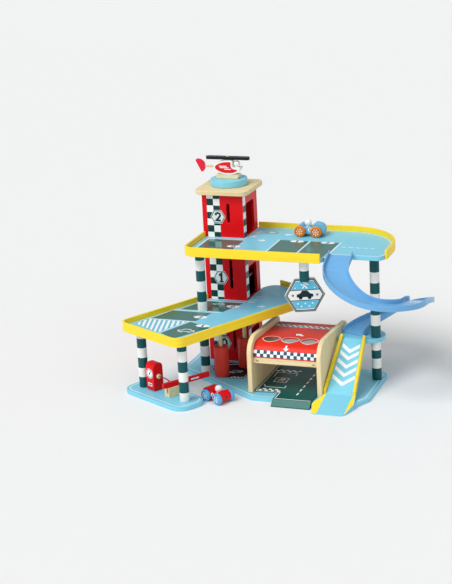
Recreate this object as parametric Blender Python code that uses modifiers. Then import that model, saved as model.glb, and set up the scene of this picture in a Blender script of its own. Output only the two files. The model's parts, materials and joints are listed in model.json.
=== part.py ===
"""A painted wooden toy garage on three levels, with a lift tower, two decks on striped pillars, a workshop,
a car wash, a fuel pump, a lifting barrier, a spiral slide, a ramp, a helicopter and two cars.

Lengths are in metres. X runs to the right along the tower's front, Y to the back and Z up. Outlines are laid out
from the foot of the tower's front left corner. The root empty then brings the middle of the whole to the origin.
"""

import math

import bmesh
import bpy
from mathutils import Matrix, Vector

# Clearances
GAP = 0.0003
SLIDE_FIT = 0.0006
TURN_FIT = 0.0004

# Levels
BOARD = 0.009
FLOOR_HEIGHT = 0.1395
TOWER_HEAD = 0.093

# Tower
TOWER_WIDTH = 0.092
TOWER_DEPTH = 0.089
PANEL = 0.006
DOOR_WIDTH = 0.050
DOOR_HEIGHT = 0.070
DOOR_SET_BACK = 0.018
WINDOW_X = 0.058
WINDOW_WIDTH = 0.008
WINDOW_SILLS = (0.024, 0.024, 0.031)
WINDOW_HEIGHTS = (0.066, 0.066, 0.042)
ROOF_BOARD = 0.010
ROOF_OVERHANG = 0.013
ROOF_CORNER = 0.016
ROOF_BACK_OVERHANG = 0.017

# Lift
LIFT_BOARD = 0.005
LIFT_HEIGHT = 0.052
KNOB_SLOT = 0.008
KNOB_STEM = 0.0035
KNOB_RADIUS = 0.008
KNOB_LENGTH = 0.007
KNOB_HEIGHT = 0.026
LIFT_RANGE_UP = FLOOR_HEIGHT
LIFT_RANGE_DOWN = FLOOR_HEIGHT - LIFT_BOARD - GAP

# Decks and rails
RAIL = 0.005
RAIL_HEIGHT = 0.020
RAIL_CORNER = 0.022
DECK_2_FRONT = -0.128
DECK_2_BACK = 0.097
DECK_2_RIGHT = 0.424
DECK_2_ROUND = 0.120
DECK_2_RAIL_END = 0.299
DECK_2_STEP = 0.304
DECK_2_STEP_ROUND = 0.014
DECK_2_SLIDE_EDGE = -0.088
DECK_2_BACK_RAIL_END = -0.074
DECK_2_CORNER = 0.016
STRIP_ANGLE = math.radians(62)
STRIP_WIDTH = 0.189
STRIP_NEAR_END = -0.245
STRIP_FAR_END = 0.172
STRIP_BEHIND_TOWER = -0.036
STRIP_BACK_CORNER = 0.025
STRIP_RAIL_STOP = -0.053

# Pillars
PILLAR_RADIUS = 0.010
PILLAR_A = (0.022, -0.084)
PILLAR_B = (-0.0763, -0.1904)
PILLAR_C = (0.0394, -0.2519)
PILLAR_D_FROM_END = 0.036
PILLAR_D = (DECK_2_RIGHT - PILLAR_D_FROM_END, -0.042)
SIGN_POST = (0.256, -0.100)
SIGN_POST_LENGTH = 0.046

# Sign
SIGN_RADIUS = 0.042
SIGN_BOARD = 0.005
SIGN_TURN = math.radians(22)
SIGN_INSERT = 0.007

# Base
BASE_LEFT = -0.038
BASE_LEFT_CORNER = -0.066
BASE_FRONT = -0.198
BASE_FRONT_CORNER = 0.165
BASE_BACK = 0.098
BASE_RIGHT = 0.401
BASE_RIGHT_BACK = 0.004
BASE_CUT = 0.022
ISLAND_WIDTH = 0.078
ISLAND_LENGTH = 0.192
ISLAND_CORNER = 0.030
ROAD_THICKNESS = 0.003
ROAD_FRONT = -0.206
ROAD_LANE_LEFT = 0.214
ROAD_LIP = 0.016
ROAD_TOE = 0.0012

# Workshop
SHOP_LEFT = 0.151
SHOP_RIGHT = 0.310
SHOP_SIDE = 0.010
SHOP_FRONT = -0.178
SHOP_BACK = 0.012
SHOP_HEIGHT = 0.118
SHOP_SHOULDER = 0.036
SHOP_RISE = 0.010
SHOP_BACK_ROUND = 0.012
SHOP_SHEET = 0.003
SHOP_SHEET_INSET = 0.011
SHOP_SHEET_DROP = 0.012
SHOP_BEAM_BOTTOM = 0.062
SHOP_BEAM = 0.012
SHOP_HOLE = 0.017
SHOP_HOLE_PITCH = 0.041
SHOP_HOLE_Y = -0.128

# Landing, ramp and slide
LANDING_TOP = 0.102
LANDING_FRONT = -0.062
LANDING_BACK = 0.004
LANDING_PAST_PILLAR = 0.016
LANDING_RIGHT = PILLAR_D[0] + LANDING_PAST_PILLAR
RAMP_MIDDLE = 0.3445
RAMP_FOOT = -0.170
RAMP_FOOT_TOP = 0.018
RAMP_BOARD = 0.005
RAMP_TOP_HALF = 0.021
RAMP_FOOT_HALF = 0.028
RAMP_RAIL = 0.0055
RAMP_RAIL_UP = 0.009
TONGUE_END = -0.242
TONGUE_TOE = 0.0012
TONGUE_FLARE = 0.014
TONGUE_RETURN = 0.010
SLIDE_CENTRE_X = 0.411
SLIDE_FRONT_CENTRE = -0.118
SLIDE_BACK_CENTRE = -0.068
SLIDE_RADIUS = 0.079
SLIDE_HALF_WIDTH = 0.026
SLIDE_WALL = 0.009
SLIDE_SHEET = 0.0025
SLIDE_END_ANGLE = math.radians(158)
SLIDE_FALL = ((0, 0), (0.14, 0.16), (0.29, 0.35), (0.43, 0.42), (0.57, 0.48), (0.71, 0.64), (0.86, 0.84), (1, 1))
SLIDE_STEPS = 48

# Helicopter
HELIPAD_RADIUS = 0.040
HELIPAD_HEIGHT = 0.014
HELIPAD_AT = (0.045, 0.050)
SKID_LENGTH = 0.050
SKID_WIDTH = 0.020
SKID_HEIGHT = 0.009
HELI_LENGTH = 0.060
HELI_HEIGHT = 0.034
HELI_WIDTH = 0.020
HELI_TAPER = 0.20
HELI_KEEL = 0.97
HELI_NOTCH = 0.0125
PILOT_HEAD = 0.0068
PILOT_X = 0.0203
STEM_DEPTH = 0.003
BOOM_RADIUS = 0.0025
BOOM_LENGTH = 0.028
BOOM_INSERT = 0.006
FIN_RADIUS = 0.0155
FIN_THICKNESS = 0.005
FIN_TILT = math.radians(27)
ROTOR_LENGTH = 0.098
ROTOR_WIDTH = 0.013
ROTOR_THICKNESS = 0.006
ROTOR_PIN = 0.002
ROTOR_PIN_HEAD = 0.004
ROTOR_PIN_CAP = 0.0015
ROTOR_PIN_DEPTH = 0.010
ROTOR_RAISE = 0.001
HELI_LIFT_OFF = 0.060

# Car wash
NEAR_ROLLER_AT = (0.062, -0.092)
FAR_ROLLER_AT = (0.093, -0.029)
ROLLER_RADIUS = 0.0155
ROLLER_HEIGHT = 0.066
ROLLER_DOWEL = 0.004

# Fuel pump and hose
PUMP_AT = (-0.199, -0.0525)
PUMP_DEPTH = 0.026
PUMP_WIDTH = 0.025
PUMP_HEIGHT = 0.060
PUMP_ROUND = 0.010
NOZZLE_RADIUS = 0.005
NOZZLE_LENGTH = 0.008
NOZZLE_HEIGHT = 0.031
NOZZLE_INSERT = 0.004
HOSE_RADIUS = 0.0011
HOSE_POINTS = (
    (0.0206, 0.0000, 0.0311),
    (0.0262, 0.0010, 0.0312),
    (0.0312, 0.0045, 0.0285),
    (0.0345, 0.0105, 0.0225),
    (0.0362, 0.0175, 0.0145),
    (0.0380, 0.0245, 0.0065),
    (0.0405, 0.0315, 0.0014),
    (0.0420, 0.0395, 0.0014),
)
HOSE_STEPS = 3

# Barrier
BARRIER_AT = (0.0, -0.2304)
BARRIER_ANGLE = math.radians(54)
BARRIER_WIDTH = 0.018
BARRIER_BEFORE = 0.009
BARRIER_BEYOND = 0.019
BARRIER_HEIGHT = 0.020
BARRIER_SLOT_FLOOR = 0.0065
BARRIER_SLOT_END = 0.0068
BARRIER_PIN = 0.0015
BARRIER_PIN_HEIGHT = 0.013
ARM_X = 0.0025
ARM_THICKNESS = 0.006
ARM_HEIGHT = 0.011
ARM_LUG = 0.0055
ARM_TAIL = 0.0196
ARM_REACH = 0.093

# Cars
WHEEL_RADIUS = 0.012
WHEEL_WIDTH = 0.008
AXLE_RADIUS = 0.0025
WHEELBASE = 0.036
CAR_WIDTH = 0.024
CAR_LENGTH = 0.060
CAR_FLOOR = 0.006
CAR_ROOF = 0.029
CAR_SEAT = 0.019
CAR_REAR = -0.027
DRIVER_HEAD = 0.0078
DRIVER_X = -0.004
BLUE_CAR = (0.225, 0.046, 0.0)
RED_CAR = (0.0972, -0.2130, STRIP_ANGLE + math.pi / 2)

LEVEL_0 = BOARD
LEVEL_1 = LEVEL_0 + FLOOR_HEIGHT
LEVEL_2 = LEVEL_1 + FLOOR_HEIGHT
TOWER_TOP = LEVEL_2 + TOWER_HEAD
ROOF_TOP = TOWER_TOP + GAP + ROOF_BOARD
ALONG = Vector((math.cos(STRIP_ANGLE), math.sin(STRIP_ANGLE)))
ACROSS = Vector((-math.sin(STRIP_ANGLE), math.cos(STRIP_ANGLE)))

for old in list(bpy.data.objects):
    bpy.data.objects.remove(old)

parts = bpy.data.collections.new("toy_garage")
cutters = bpy.data.collections.new("cutters")
bpy.context.scene.collection.children.link(parts)
bpy.context.scene.collection.children.link(cutters)
cutters.hide_render = True
root = bpy.data.objects.new("garage_root", None)
parts.objects.link(root)


def paint(name, colour, roughness=0.35):
    """A coat of paint or a bare material, as a Principled BSDF."""
    material = bpy.data.materials.new(name)
    material.use_nodes = True
    shader = material.node_tree.nodes["Principled BSDF"]
    shader.inputs["Base Color"].default_value = (*colour, 1)
    shader.inputs["Roughness"].default_value = roughness
    return material


SKY = paint("sky_blue_paint", (0.33, 0.66, 0.80))
YELLOW = paint("yellow_paint", (0.95, 0.77, 0.09))
RED = paint("red_paint", (0.72, 0.01, 0.02))
ORANGE_RED = paint("orange_red_paint", (0.75, 0.06, 0.03))
TEAL = paint("teal_paint", (0.01, 0.10, 0.11))
ROAD = paint("road_print", (0.02, 0.08, 0.08))
BARE = paint("bare_wood", (0.80, 0.66, 0.45), 0.6)
PLASTIC = paint("blue_plastic", (0.13, 0.38, 0.80), 0.3)
WHITE = paint("white_paint", (0.85, 0.85, 0.83))
BLACK = paint("black_paint", (0.01, 0.02, 0.02))
ORANGE = paint("orange_paint", (0.78, 0.30, 0.05))
WHEEL_BLUE = paint("wheel_blue_paint", (0.10, 0.42, 0.80))
HOSE_RED = paint("hose_red", (0.25, 0.01, 0.01), 0.6)


def add(obj, material, parent=None, smooth=False):
    """Puts a piece into the garage's collection, with its material, its parent and its shading."""
    for collection in list(obj.users_collection):
        collection.objects.unlink(obj)
    parts.objects.link(obj)
    obj.data.materials.clear()
    obj.data.materials.append(material)
    obj.parent = parent or root
    if smooth and obj.type == "MESH":
        obj.data.shade_smooth()
        obj.data.set_sharp_from_angle(angle=math.radians(35))
    return obj


def hide(obj):
    """Makes a piece a cutter: kept out of the render and drawn as a wire."""
    for collection in list(obj.users_collection):
        collection.objects.unlink(obj)
    cutters.objects.link(obj)
    obj.parent = root
    obj.display_type = "WIRE"
    obj.hide_render = True
    return obj


def boolean(obj, other, operation="DIFFERENCE"):
    modifier = obj.modifiers.new(operation.lower(), "BOOLEAN")
    modifier.object = other
    modifier.operation = operation


def empty(name, location, turn=0.0, parent=None):
    marker = bpy.data.objects.new(name, None)
    parts.objects.link(marker)
    marker.parent = parent or root
    marker.location = location
    marker.rotation_euler = (0, 0, turn)
    return marker


def strip(along, across):
    """A point of the turned deck's own frame, as a point of the layout."""
    return ALONG * along + ACROSS * across


def filleted(corners, radii, steps=6):
    """An outline whose corners are rounded, each by its own radius."""
    outline = []
    for index, corner in enumerate(corners):
        corner = Vector(corner)
        radius = radii[index] if isinstance(radii, (list, tuple)) else radii
        if radius <= 0:
            outline.append(corner)
            continue
        before = (Vector(corners[index - 1]) - corner).normalized()
        after = (Vector(corners[(index + 1) % len(corners)]) - corner).normalized()
        half = before.angle(after) / 2
        centre = corner + (before + after).normalized() * radius / math.sin(half)
        start = corner + before * radius / math.tan(half) - centre
        sweep = math.pi - 2 * half
        turn = 1 if before.cross(after) < 0 else -1
        count = max(2, round(steps * sweep / (math.pi / 2)))
        for step in range(count + 1):
            spin = Matrix.Rotation(turn * sweep * step / count, 2)
            outline.append(centre + spin @ start)
    return outline


def open_fillet(points, radii, steps=6):
    """The same for an open path, whose two ends stay as they are."""
    closed = filleted(points, [0, *radii, 0], steps)
    return closed


def beside(path, distance):
    """The path moved to its left by a distance, with mitred corners."""
    moved = []
    for index, point in enumerate(path):
        directions = []
        if index > 0:
            directions.append((point - path[index - 1]).normalized())
        if index < len(path) - 1:
            directions.append((path[index + 1] - point).normalized())
        normals = [Vector((-way.y, way.x)) for way in directions]
        middle = sum(normals, Vector((0, 0))).normalized()
        moved.append(point + middle * distance / middle.dot(normals[0]))
    return moved


def plate(name, outlines, thickness):
    """A flat outline, with any holes, as a mesh from z = 0 up to its thickness."""
    curve = bpy.data.curves.new(name, "CURVE")
    curve.dimensions = "2D"
    curve.fill_mode = "BOTH"
    curve.extrude = thickness / 2
    for outline in outlines:
        spline = curve.splines.new("POLY")
        spline.points.add(len(outline) - 1)
        for point, place in zip(spline.points, outline):
            point.co = (place[0], place[1], 0, 1)
        spline.use_cyclic_u = True
    drawn = bpy.data.objects.new(name + "_curve", curve)
    bpy.context.scene.collection.objects.link(drawn)
    bpy.context.view_layer.update()
    graph = bpy.context.evaluated_depsgraph_get()
    mesh = bpy.data.meshes.new_from_object(drawn.evaluated_get(graph))
    bpy.data.objects.remove(drawn)
    sheet = bmesh.new()
    sheet.from_mesh(mesh)
    bmesh.ops.remove_doubles(sheet, verts=sheet.verts, dist=0.000001)
    bmesh.ops.translate(sheet, verts=sheet.verts, vec=(0, 0, thickness / 2))
    sheet.to_mesh(mesh)
    sheet.free()
    mesh.name = name
    obj = bpy.data.objects.new(name, mesh)
    bpy.context.scene.collection.objects.link(obj)
    return obj


def upright(obj, axis, location):
    """Stands a plate up: its outline's x stays X for axis Y, or becomes Y for axis X, and its y becomes Z."""
    if axis == "Y":
        turn = Matrix(((1, 0, 0), (0, 0, 1), (0, 1, 0)))
    else:
        turn = Matrix(((0, 0, 1), (1, 0, 0), (0, 1, 0)))
    obj.data.transform(turn.to_4x4())
    if turn.determinant() < 0:
        obj.data.flip_normals()
    obj.location = location
    return obj


def box(name, size, location, turn=0.0):
    """A block of the given size whose bottom middle is at the location."""
    mesh = bpy.data.meshes.new(name)
    block = bmesh.new()
    bmesh.ops.create_cube(block, size=1)
    bmesh.ops.scale(block, vec=size, verts=block.verts)
    bmesh.ops.translate(block, vec=(0, 0, size[2] / 2), verts=block.verts)
    block.to_mesh(mesh)
    block.free()
    obj = bpy.data.objects.new(name, mesh)
    bpy.context.scene.collection.objects.link(obj)
    obj.location = location
    obj.rotation_euler = (0, 0, turn)
    return obj


def rod(name, radius, length, location, sides=24, axis="Z"):
    """A round rod whose near end's middle is at the location."""
    mesh = bpy.data.meshes.new(name)
    bar = bmesh.new()
    bmesh.ops.create_cone(
        bar, cap_ends=True, segments=sides, radius1=radius, radius2=radius, depth=length
    )
    bmesh.ops.translate(bar, vec=(0, 0, length / 2), verts=bar.verts)
    if axis == "X":
        bmesh.ops.rotate(bar, matrix=Matrix.Rotation(math.pi / 2, 3, "Y"), verts=bar.verts)
    if axis == "Y":
        bmesh.ops.rotate(bar, matrix=Matrix.Rotation(-math.pi / 2, 3, "X"), verts=bar.verts)
    bar.to_mesh(mesh)
    bar.free()
    obj = bpy.data.objects.new(name, mesh)
    bpy.context.scene.collection.objects.link(obj)
    obj.location = location
    return obj


def turned(name, profile, location, sides=24):
    """A turned piece about its own Z, from a profile of (radius, height) that runs down its outer side."""
    mesh = bpy.data.meshes.new(name)
    mesh.from_pydata([(r, 0, z) for r, z in profile], [(i, i + 1) for i in range(len(profile) - 1)], [])
    obj = bpy.data.objects.new(name, mesh)
    bpy.context.scene.collection.objects.link(obj)
    screw = obj.modifiers.new("turn", "SCREW")
    screw.steps = sides
    screw.render_steps = sides
    screw.use_merge_vertices = True
    screw.merge_threshold = 0.00001
    obj.location = location
    return obj


def trimmed(name, plan, side, width):
    """A sloped piece: a plan outline, cut to a side profile of (y, z) that is as wide as it needs."""
    obj = plate(name, [plan], LEVEL_2)
    wedge = plate(name + "_side", [side], width)
    upright(wedge, "X", (RAMP_MIDDLE - width / 2, 0, 0))
    boolean(obj, hide(wedge), "INTERSECT")
    return obj


def ring(radius, count=16):
    """A circle as an outline, for a bore in a plate."""
    turns = [2 * math.pi * step / count for step in range(count)]
    return [(radius * math.cos(turn), radius * math.sin(turn)) for turn in turns]


def baked(obj):
    """The piece with its modifiers applied."""
    bpy.context.view_layer.update()
    graph = bpy.context.evaluated_depsgraph_get()
    mesh = bpy.data.meshes.new_from_object(obj.evaluated_get(graph))
    obj.modifiers.clear()
    obj.data = mesh
    return obj


def slab(name, outlines, top, thickness, material):
    """A level board whose upper face is at the given height."""
    obj = plate(name, outlines, thickness)
    obj.location.z = top - thickness
    return add(obj, material)


def build_base():
    slope = (BASE_FRONT - BASE_LEFT_CORNER) / (BASE_FRONT_CORNER - BASE_LEFT)
    corners = [
        (BASE_LEFT, BASE_LEFT_CORNER),
        (BASE_FRONT_CORNER, BASE_LEFT_CORNER + slope * (BASE_FRONT_CORNER - BASE_LEFT)),
        (BASE_RIGHT - BASE_CUT, BASE_FRONT),
        (BASE_RIGHT, BASE_FRONT + 2 * BASE_CUT),
        (BASE_RIGHT, BASE_RIGHT_BACK - BASE_CUT / 2),
        (BASE_RIGHT - BASE_CUT / 2, BASE_RIGHT_BACK),
        (SHOP_RIGHT + GAP, BASE_RIGHT_BACK + BASE_CUT / 2),
        (TOWER_WIDTH + 4 * BASE_CUT, BASE_BACK),
        (BASE_LEFT + BASE_CUT, BASE_BACK),
        (BASE_LEFT, BASE_BACK - BASE_CUT),
    ]
    slab("base_board", [filleted(corners, 0.006, 4)], LEVEL_0, BOARD, SKY)

    middle = (Vector(PILLAR_B) + Vector(PILLAR_C)) / 2
    half = Vector((ISLAND_LENGTH / 2, ISLAND_WIDTH / 2))
    corners = [(-half.x, -half.y), (half.x, -half.y), (half.x, half.y), (-half.x, half.y)]
    island = slab("island_board", [filleted(corners, ISLAND_CORNER, 8)], LEVEL_0, BOARD, SKY)
    island.location.xy = middle
    island.rotation_euler.z = STRIP_ANGLE - math.pi / 2

    bay_left = SHOP_LEFT + SHOP_SIDE + GAP
    bay_right = SHOP_RIGHT - SHOP_SIDE - GAP
    lane_right = RAMP_MIDDLE - RAMP_FOOT_HALF - RAMP_RAIL - TONGUE_FLARE - GAP
    bay_front = SHOP_FRONT + SHOP_SHEET_INSET
    plan = [
        (bay_left, bay_front),
        (ROAD_LANE_LEFT, bay_front),
        (ROAD_LANE_LEFT, ROAD_FRONT - ROAD_LIP),
        (lane_right, ROAD_FRONT - ROAD_LIP),
        (lane_right, RAMP_FOOT),
        (bay_right, RAMP_FOOT),
        (bay_right, SHOP_BACK - SHOP_SIDE),
        (bay_left, SHOP_BACK - SHOP_SIDE),
    ]
    top = LEVEL_0 + GAP + ROAD_THICKNESS
    side = [
        (SHOP_BACK, LEVEL_0 + GAP),
        (SHOP_BACK, top),
        (ROAD_FRONT, top),
        (ROAD_FRONT - ROAD_LIP, ROAD_TOE),
        (ROAD_FRONT - ROAD_LIP, 0),
        (BASE_FRONT - GAP, 0),
        (BASE_FRONT - GAP, LEVEL_0 + GAP),
    ]
    road = trimmed("road_board", plan, side, 2 * RAMP_MIDDLE)
    add(baked(road), ROAD)


def wall(name, axis, width, low, high, holes, location, material):
    """An upright panel from one height to another, with openings as (left, bottom, width, height, top round)."""
    outline = [(0, low), (width, low), (width, high), (0, high)]
    panel = upright(plate(name, [outline], PANEL), axis, location)
    for number, (left, bottom, across, tall, radius) in enumerate(holes):
        corners = [(left, bottom), (left + across, bottom), (left + across, bottom + tall), (left, bottom + tall)]
        radii = [radius if bottom > low else 0] * 2 + [radius] * 2
        hole = plate(f"{name}_hole_{number}", [filleted(corners, radii, 4)], 3 * PANEL)
        shift = Vector((PANEL, 0, 0)) if axis == "X" else Vector((0, PANEL, 0))
        upright(hole, axis, Vector(location) - shift)
        boolean(panel, hide(hole))
    return add(baked(panel), material)


def build_tower():
    foot = LEVEL_0 + GAP
    levels = (LEVEL_0, LEVEL_1, LEVEL_2)
    windows = [
        (WINDOW_X - WINDOW_WIDTH / 2, level + sill, WINDOW_WIDTH, tall, WINDOW_WIDTH / 2 - 0.0002)
        for level, sill, tall in zip(levels, WINDOW_SILLS, WINDOW_HEIGHTS)
    ]
    wall("tower_front", "Y", TOWER_WIDTH, foot, TOWER_TOP, windows, (0, 0, 0), RED)
    knob = LEVEL_0 + GAP + KNOB_HEIGHT - KNOB_SLOT / 2
    slot = (TOWER_WIDTH / 2 - KNOB_SLOT / 2, knob, KNOB_SLOT, LIFT_RANGE_DOWN + LIFT_RANGE_UP + KNOB_SLOT,
            KNOB_SLOT / 2 - 0.0002)
    back = (0, TOWER_DEPTH - PANEL, 0)
    wall("tower_back", "Y", TOWER_WIDTH, foot, TOWER_TOP, [slot], back, RED)
    depth = TOWER_DEPTH - 2 * PANEL - 2 * GAP
    doors = []
    for level in levels:
        low = level if level > LEVEL_0 else foot - PANEL
        doors.append((DOOR_SET_BACK - PANEL, low, DOOR_WIDTH, level + DOOR_HEIGHT - low, 0.008))
    wall("tower_left", "X", depth, foot, TOWER_TOP, [], (0, PANEL + GAP, 0), RED)
    right = (TOWER_WIDTH - PANEL, PANEL + GAP, 0)
    wall("tower_right", "X", depth, foot, TOWER_TOP, doors, right, RED)

    corners = [
        (-ROOF_OVERHANG, -ROOF_OVERHANG),
        (TOWER_WIDTH + ROOF_OVERHANG, -ROOF_OVERHANG),
        (TOWER_WIDTH + ROOF_OVERHANG, TOWER_DEPTH + ROOF_BACK_OVERHANG),
        (-ROOF_OVERHANG, TOWER_DEPTH + ROOF_BACK_OVERHANG),
    ]
    slab("tower_roof", [filleted(corners, ROOF_CORNER, 5)], ROOF_TOP, ROOF_BOARD, BARE)

    inside = TOWER_WIDTH - 2 * PANEL
    width = inside - 2 * SLIDE_FIT
    deep = TOWER_DEPTH - 2 * PANEL - 2 * SLIDE_FIT
    profile = [
        (0, 0), (deep, 0), (deep, LIFT_HEIGHT), (0, LIFT_HEIGHT), (0, LIFT_HEIGHT - LIFT_BOARD),
        (deep - LIFT_BOARD, LIFT_HEIGHT - LIFT_BOARD), (deep - LIFT_BOARD, LIFT_BOARD), (0, LIFT_BOARD),
    ]
    cabin = upright(plate("lift_cabin", [profile], width), "X", (0, 0, 0))
    cabin.location = (PANEL + SLIDE_FIT, PANEL + SLIDE_FIT, LEVEL_1 - LIFT_BOARD)
    middle = TOWER_WIDTH / 2
    reach = TOWER_DEPTH - PANEL - LIFT_BOARD
    height = LEVEL_1 - LIFT_BOARD + KNOB_HEIGHT
    stem_length = PANEL + LIFT_BOARD + KNOB_LENGTH
    stem = rod("knob_stem", KNOB_STEM, stem_length, (middle, reach, height), 16, "Y")
    head_y = TOWER_DEPTH + GAP + 0.001
    head = rod("knob_head", KNOB_RADIUS, KNOB_LENGTH, (middle, head_y, height), 20, "Y")
    boolean(cabin, hide(stem), "UNION")
    boolean(cabin, hide(head), "UNION")
    add(baked(cabin), RED)


def build_deck_1():
    """The turned deck: its long side starts at the tower's corner and it ends behind the tower."""
    inset = RAIL + GAP
    near = STRIP_NEAR_END + inset
    meet = (-GAP + inset * ACROSS.y) / ALONG.y
    leave = (STRIP_BEHIND_TOWER - ACROSS.x * (TOWER_WIDTH + GAP)) / ACROSS.y
    far_corner = strip(STRIP_FAR_END - inset, STRIP_BEHIND_TOWER)
    tower_corner = Vector((TOWER_WIDTH + GAP, leave))
    back_corner = min(STRIP_BACK_CORNER, 0.9 * (far_corner - tower_corner).length)
    corners = [
        strip(near, -inset),
        strip(near, inset - STRIP_WIDTH),
        strip(STRIP_FAR_END - inset, inset - STRIP_WIDTH),
        far_corner,
        tower_corner,
        Vector((TOWER_WIDTH + GAP, -GAP)),
        strip(meet, -inset),
    ]
    inner = RAIL_CORNER - inset
    radii = [inner, inner, inner, back_corner, 0, 0, 0]
    slab("deck_1_board", [filleted(corners, radii)], LEVEL_1, BOARD, SKY)

    path = [
        strip(-2 * GAP, 0),
        strip(STRIP_NEAR_END, 0),
        strip(STRIP_NEAR_END, -STRIP_WIDTH),
        strip(STRIP_FAR_END, -STRIP_WIDTH),
        strip(STRIP_FAR_END, STRIP_RAIL_STOP),
    ]
    build_rail("deck_1_rail", open_fillet(path, [RAIL_CORNER] * 3), LEVEL_1)


def build_rail(name, path, level):
    """A bent rail whose outer line is the path, its thickness to the path's left, round a board's edge."""
    outline = list(path) + list(reversed(beside(path, RAIL)))
    rail = plate(name, [outline], RAIL_HEIGHT)
    rail.location.z = level - BOARD
    return add(rail, YELLOW)


def build_deck_2():
    inset = RAIL + GAP
    right = DECK_2_RIGHT - inset
    corners = [
        (inset, DECK_2_FRONT + inset),
        (DECK_2_STEP, DECK_2_FRONT + inset),
        (DECK_2_STEP, DECK_2_SLIDE_EDGE),
        (right, DECK_2_SLIDE_EDGE),
        (right, DECK_2_BACK - inset),
        (TOWER_WIDTH + GAP, DECK_2_BACK - inset),
        (TOWER_WIDTH + GAP, -GAP),
        (inset, -GAP),
    ]
    radii = [RAIL_CORNER - inset, DECK_2_STEP_ROUND, 0, DECK_2_CORNER, DECK_2_ROUND - inset, 0, 0, 0]
    slab("deck_2_board", [filleted(corners, radii, 10)], LEVEL_2, BOARD, SKY)

    path = [(0, -GAP), (0, DECK_2_FRONT), (DECK_2_RAIL_END, DECK_2_FRONT)]
    path = open_fillet([Vector(point) for point in path], [RAIL_CORNER])
    build_rail("deck_2_front_rail", path, LEVEL_2)
    path = [
        (DECK_2_RIGHT, DECK_2_BACK_RAIL_END),
        (DECK_2_RIGHT, DECK_2_BACK),
        (TOWER_WIDTH + GAP, DECK_2_BACK),
    ]
    path = open_fillet([Vector(point) for point in path], [DECK_2_ROUND], 12)
    build_rail("deck_2_back_rail", path, LEVEL_2)


def build_pillars():
    under_1 = LEVEL_1 - BOARD - GAP
    under_2 = LEVEL_2 - BOARD - GAP
    runs = (
        ("pillar_front_left_lower", PILLAR_A, LEVEL_0 + GAP, under_1),
        ("pillar_front_left_upper", PILLAR_A, LEVEL_1 + GAP, under_2),
        ("pillar_island_back", PILLAR_B, LEVEL_0 + GAP, under_1),
        ("pillar_island_front", PILLAR_C, LEVEL_0 + GAP, under_1),
        ("pillar_right_lower", PILLAR_D, LEVEL_0 + GAP, LANDING_TOP - BOARD - GAP),
        ("pillar_right_upper", PILLAR_D, LANDING_TOP + GAP, under_2),
    )
    for name, place, low, high in runs:
        add(rod(name, PILLAR_RADIUS, high - low, (*place, low)), TEAL, smooth=True)


def build_sign():
    """A short post under the top deck, slit from below, with the sign board's top edge in the slit."""
    top = LEVEL_2 - BOARD - GAP
    low = top - SIGN_POST_LENGTH
    post = rod("sign_post", PILLAR_RADIUS, SIGN_POST_LENGTH, (*SIGN_POST, low))
    slit = box("sign_slit", (4 * PILLAR_RADIUS, SIGN_BOARD + 2 * GAP, 2 * SIGN_INSERT),
               (*SIGN_POST, low - SIGN_INSERT), SIGN_TURN)
    boolean(post, hide(slit))
    add(baked(post), TEAL, smooth=True)
    corners = [
        (SIGN_RADIUS * math.cos(math.radians(60 * step)), SIGN_RADIUS * math.sin(math.radians(60 * step)))
        for step in range(6)
    ]
    sign = plate("sign_board", [filleted(corners, 0.003, 3)], SIGN_BOARD)
    upright(sign, "Y", (0, 0, 0))
    sign.data.transform(Matrix.Translation((0, -SIGN_BOARD / 2, 0)))
    half_height = SIGN_RADIUS * math.cos(math.radians(30))
    sign.location = (*SIGN_POST, low + SIGN_INSERT - GAP - half_height)
    sign.rotation_euler.z = SIGN_TURN
    add(sign, SKY)


def shop_profile(inset, drop, foot):
    """The workshop's side line from its front foot up, over the shoulder and down to the rear, as (y, z)."""
    front = SHOP_FRONT + inset
    back = SHOP_BACK - inset / 2
    top = LEVEL_0 + SHOP_HEIGHT - drop
    return [Vector((front, foot)), Vector((front, top)), Vector((back, top - SHOP_RISE))]


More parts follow.
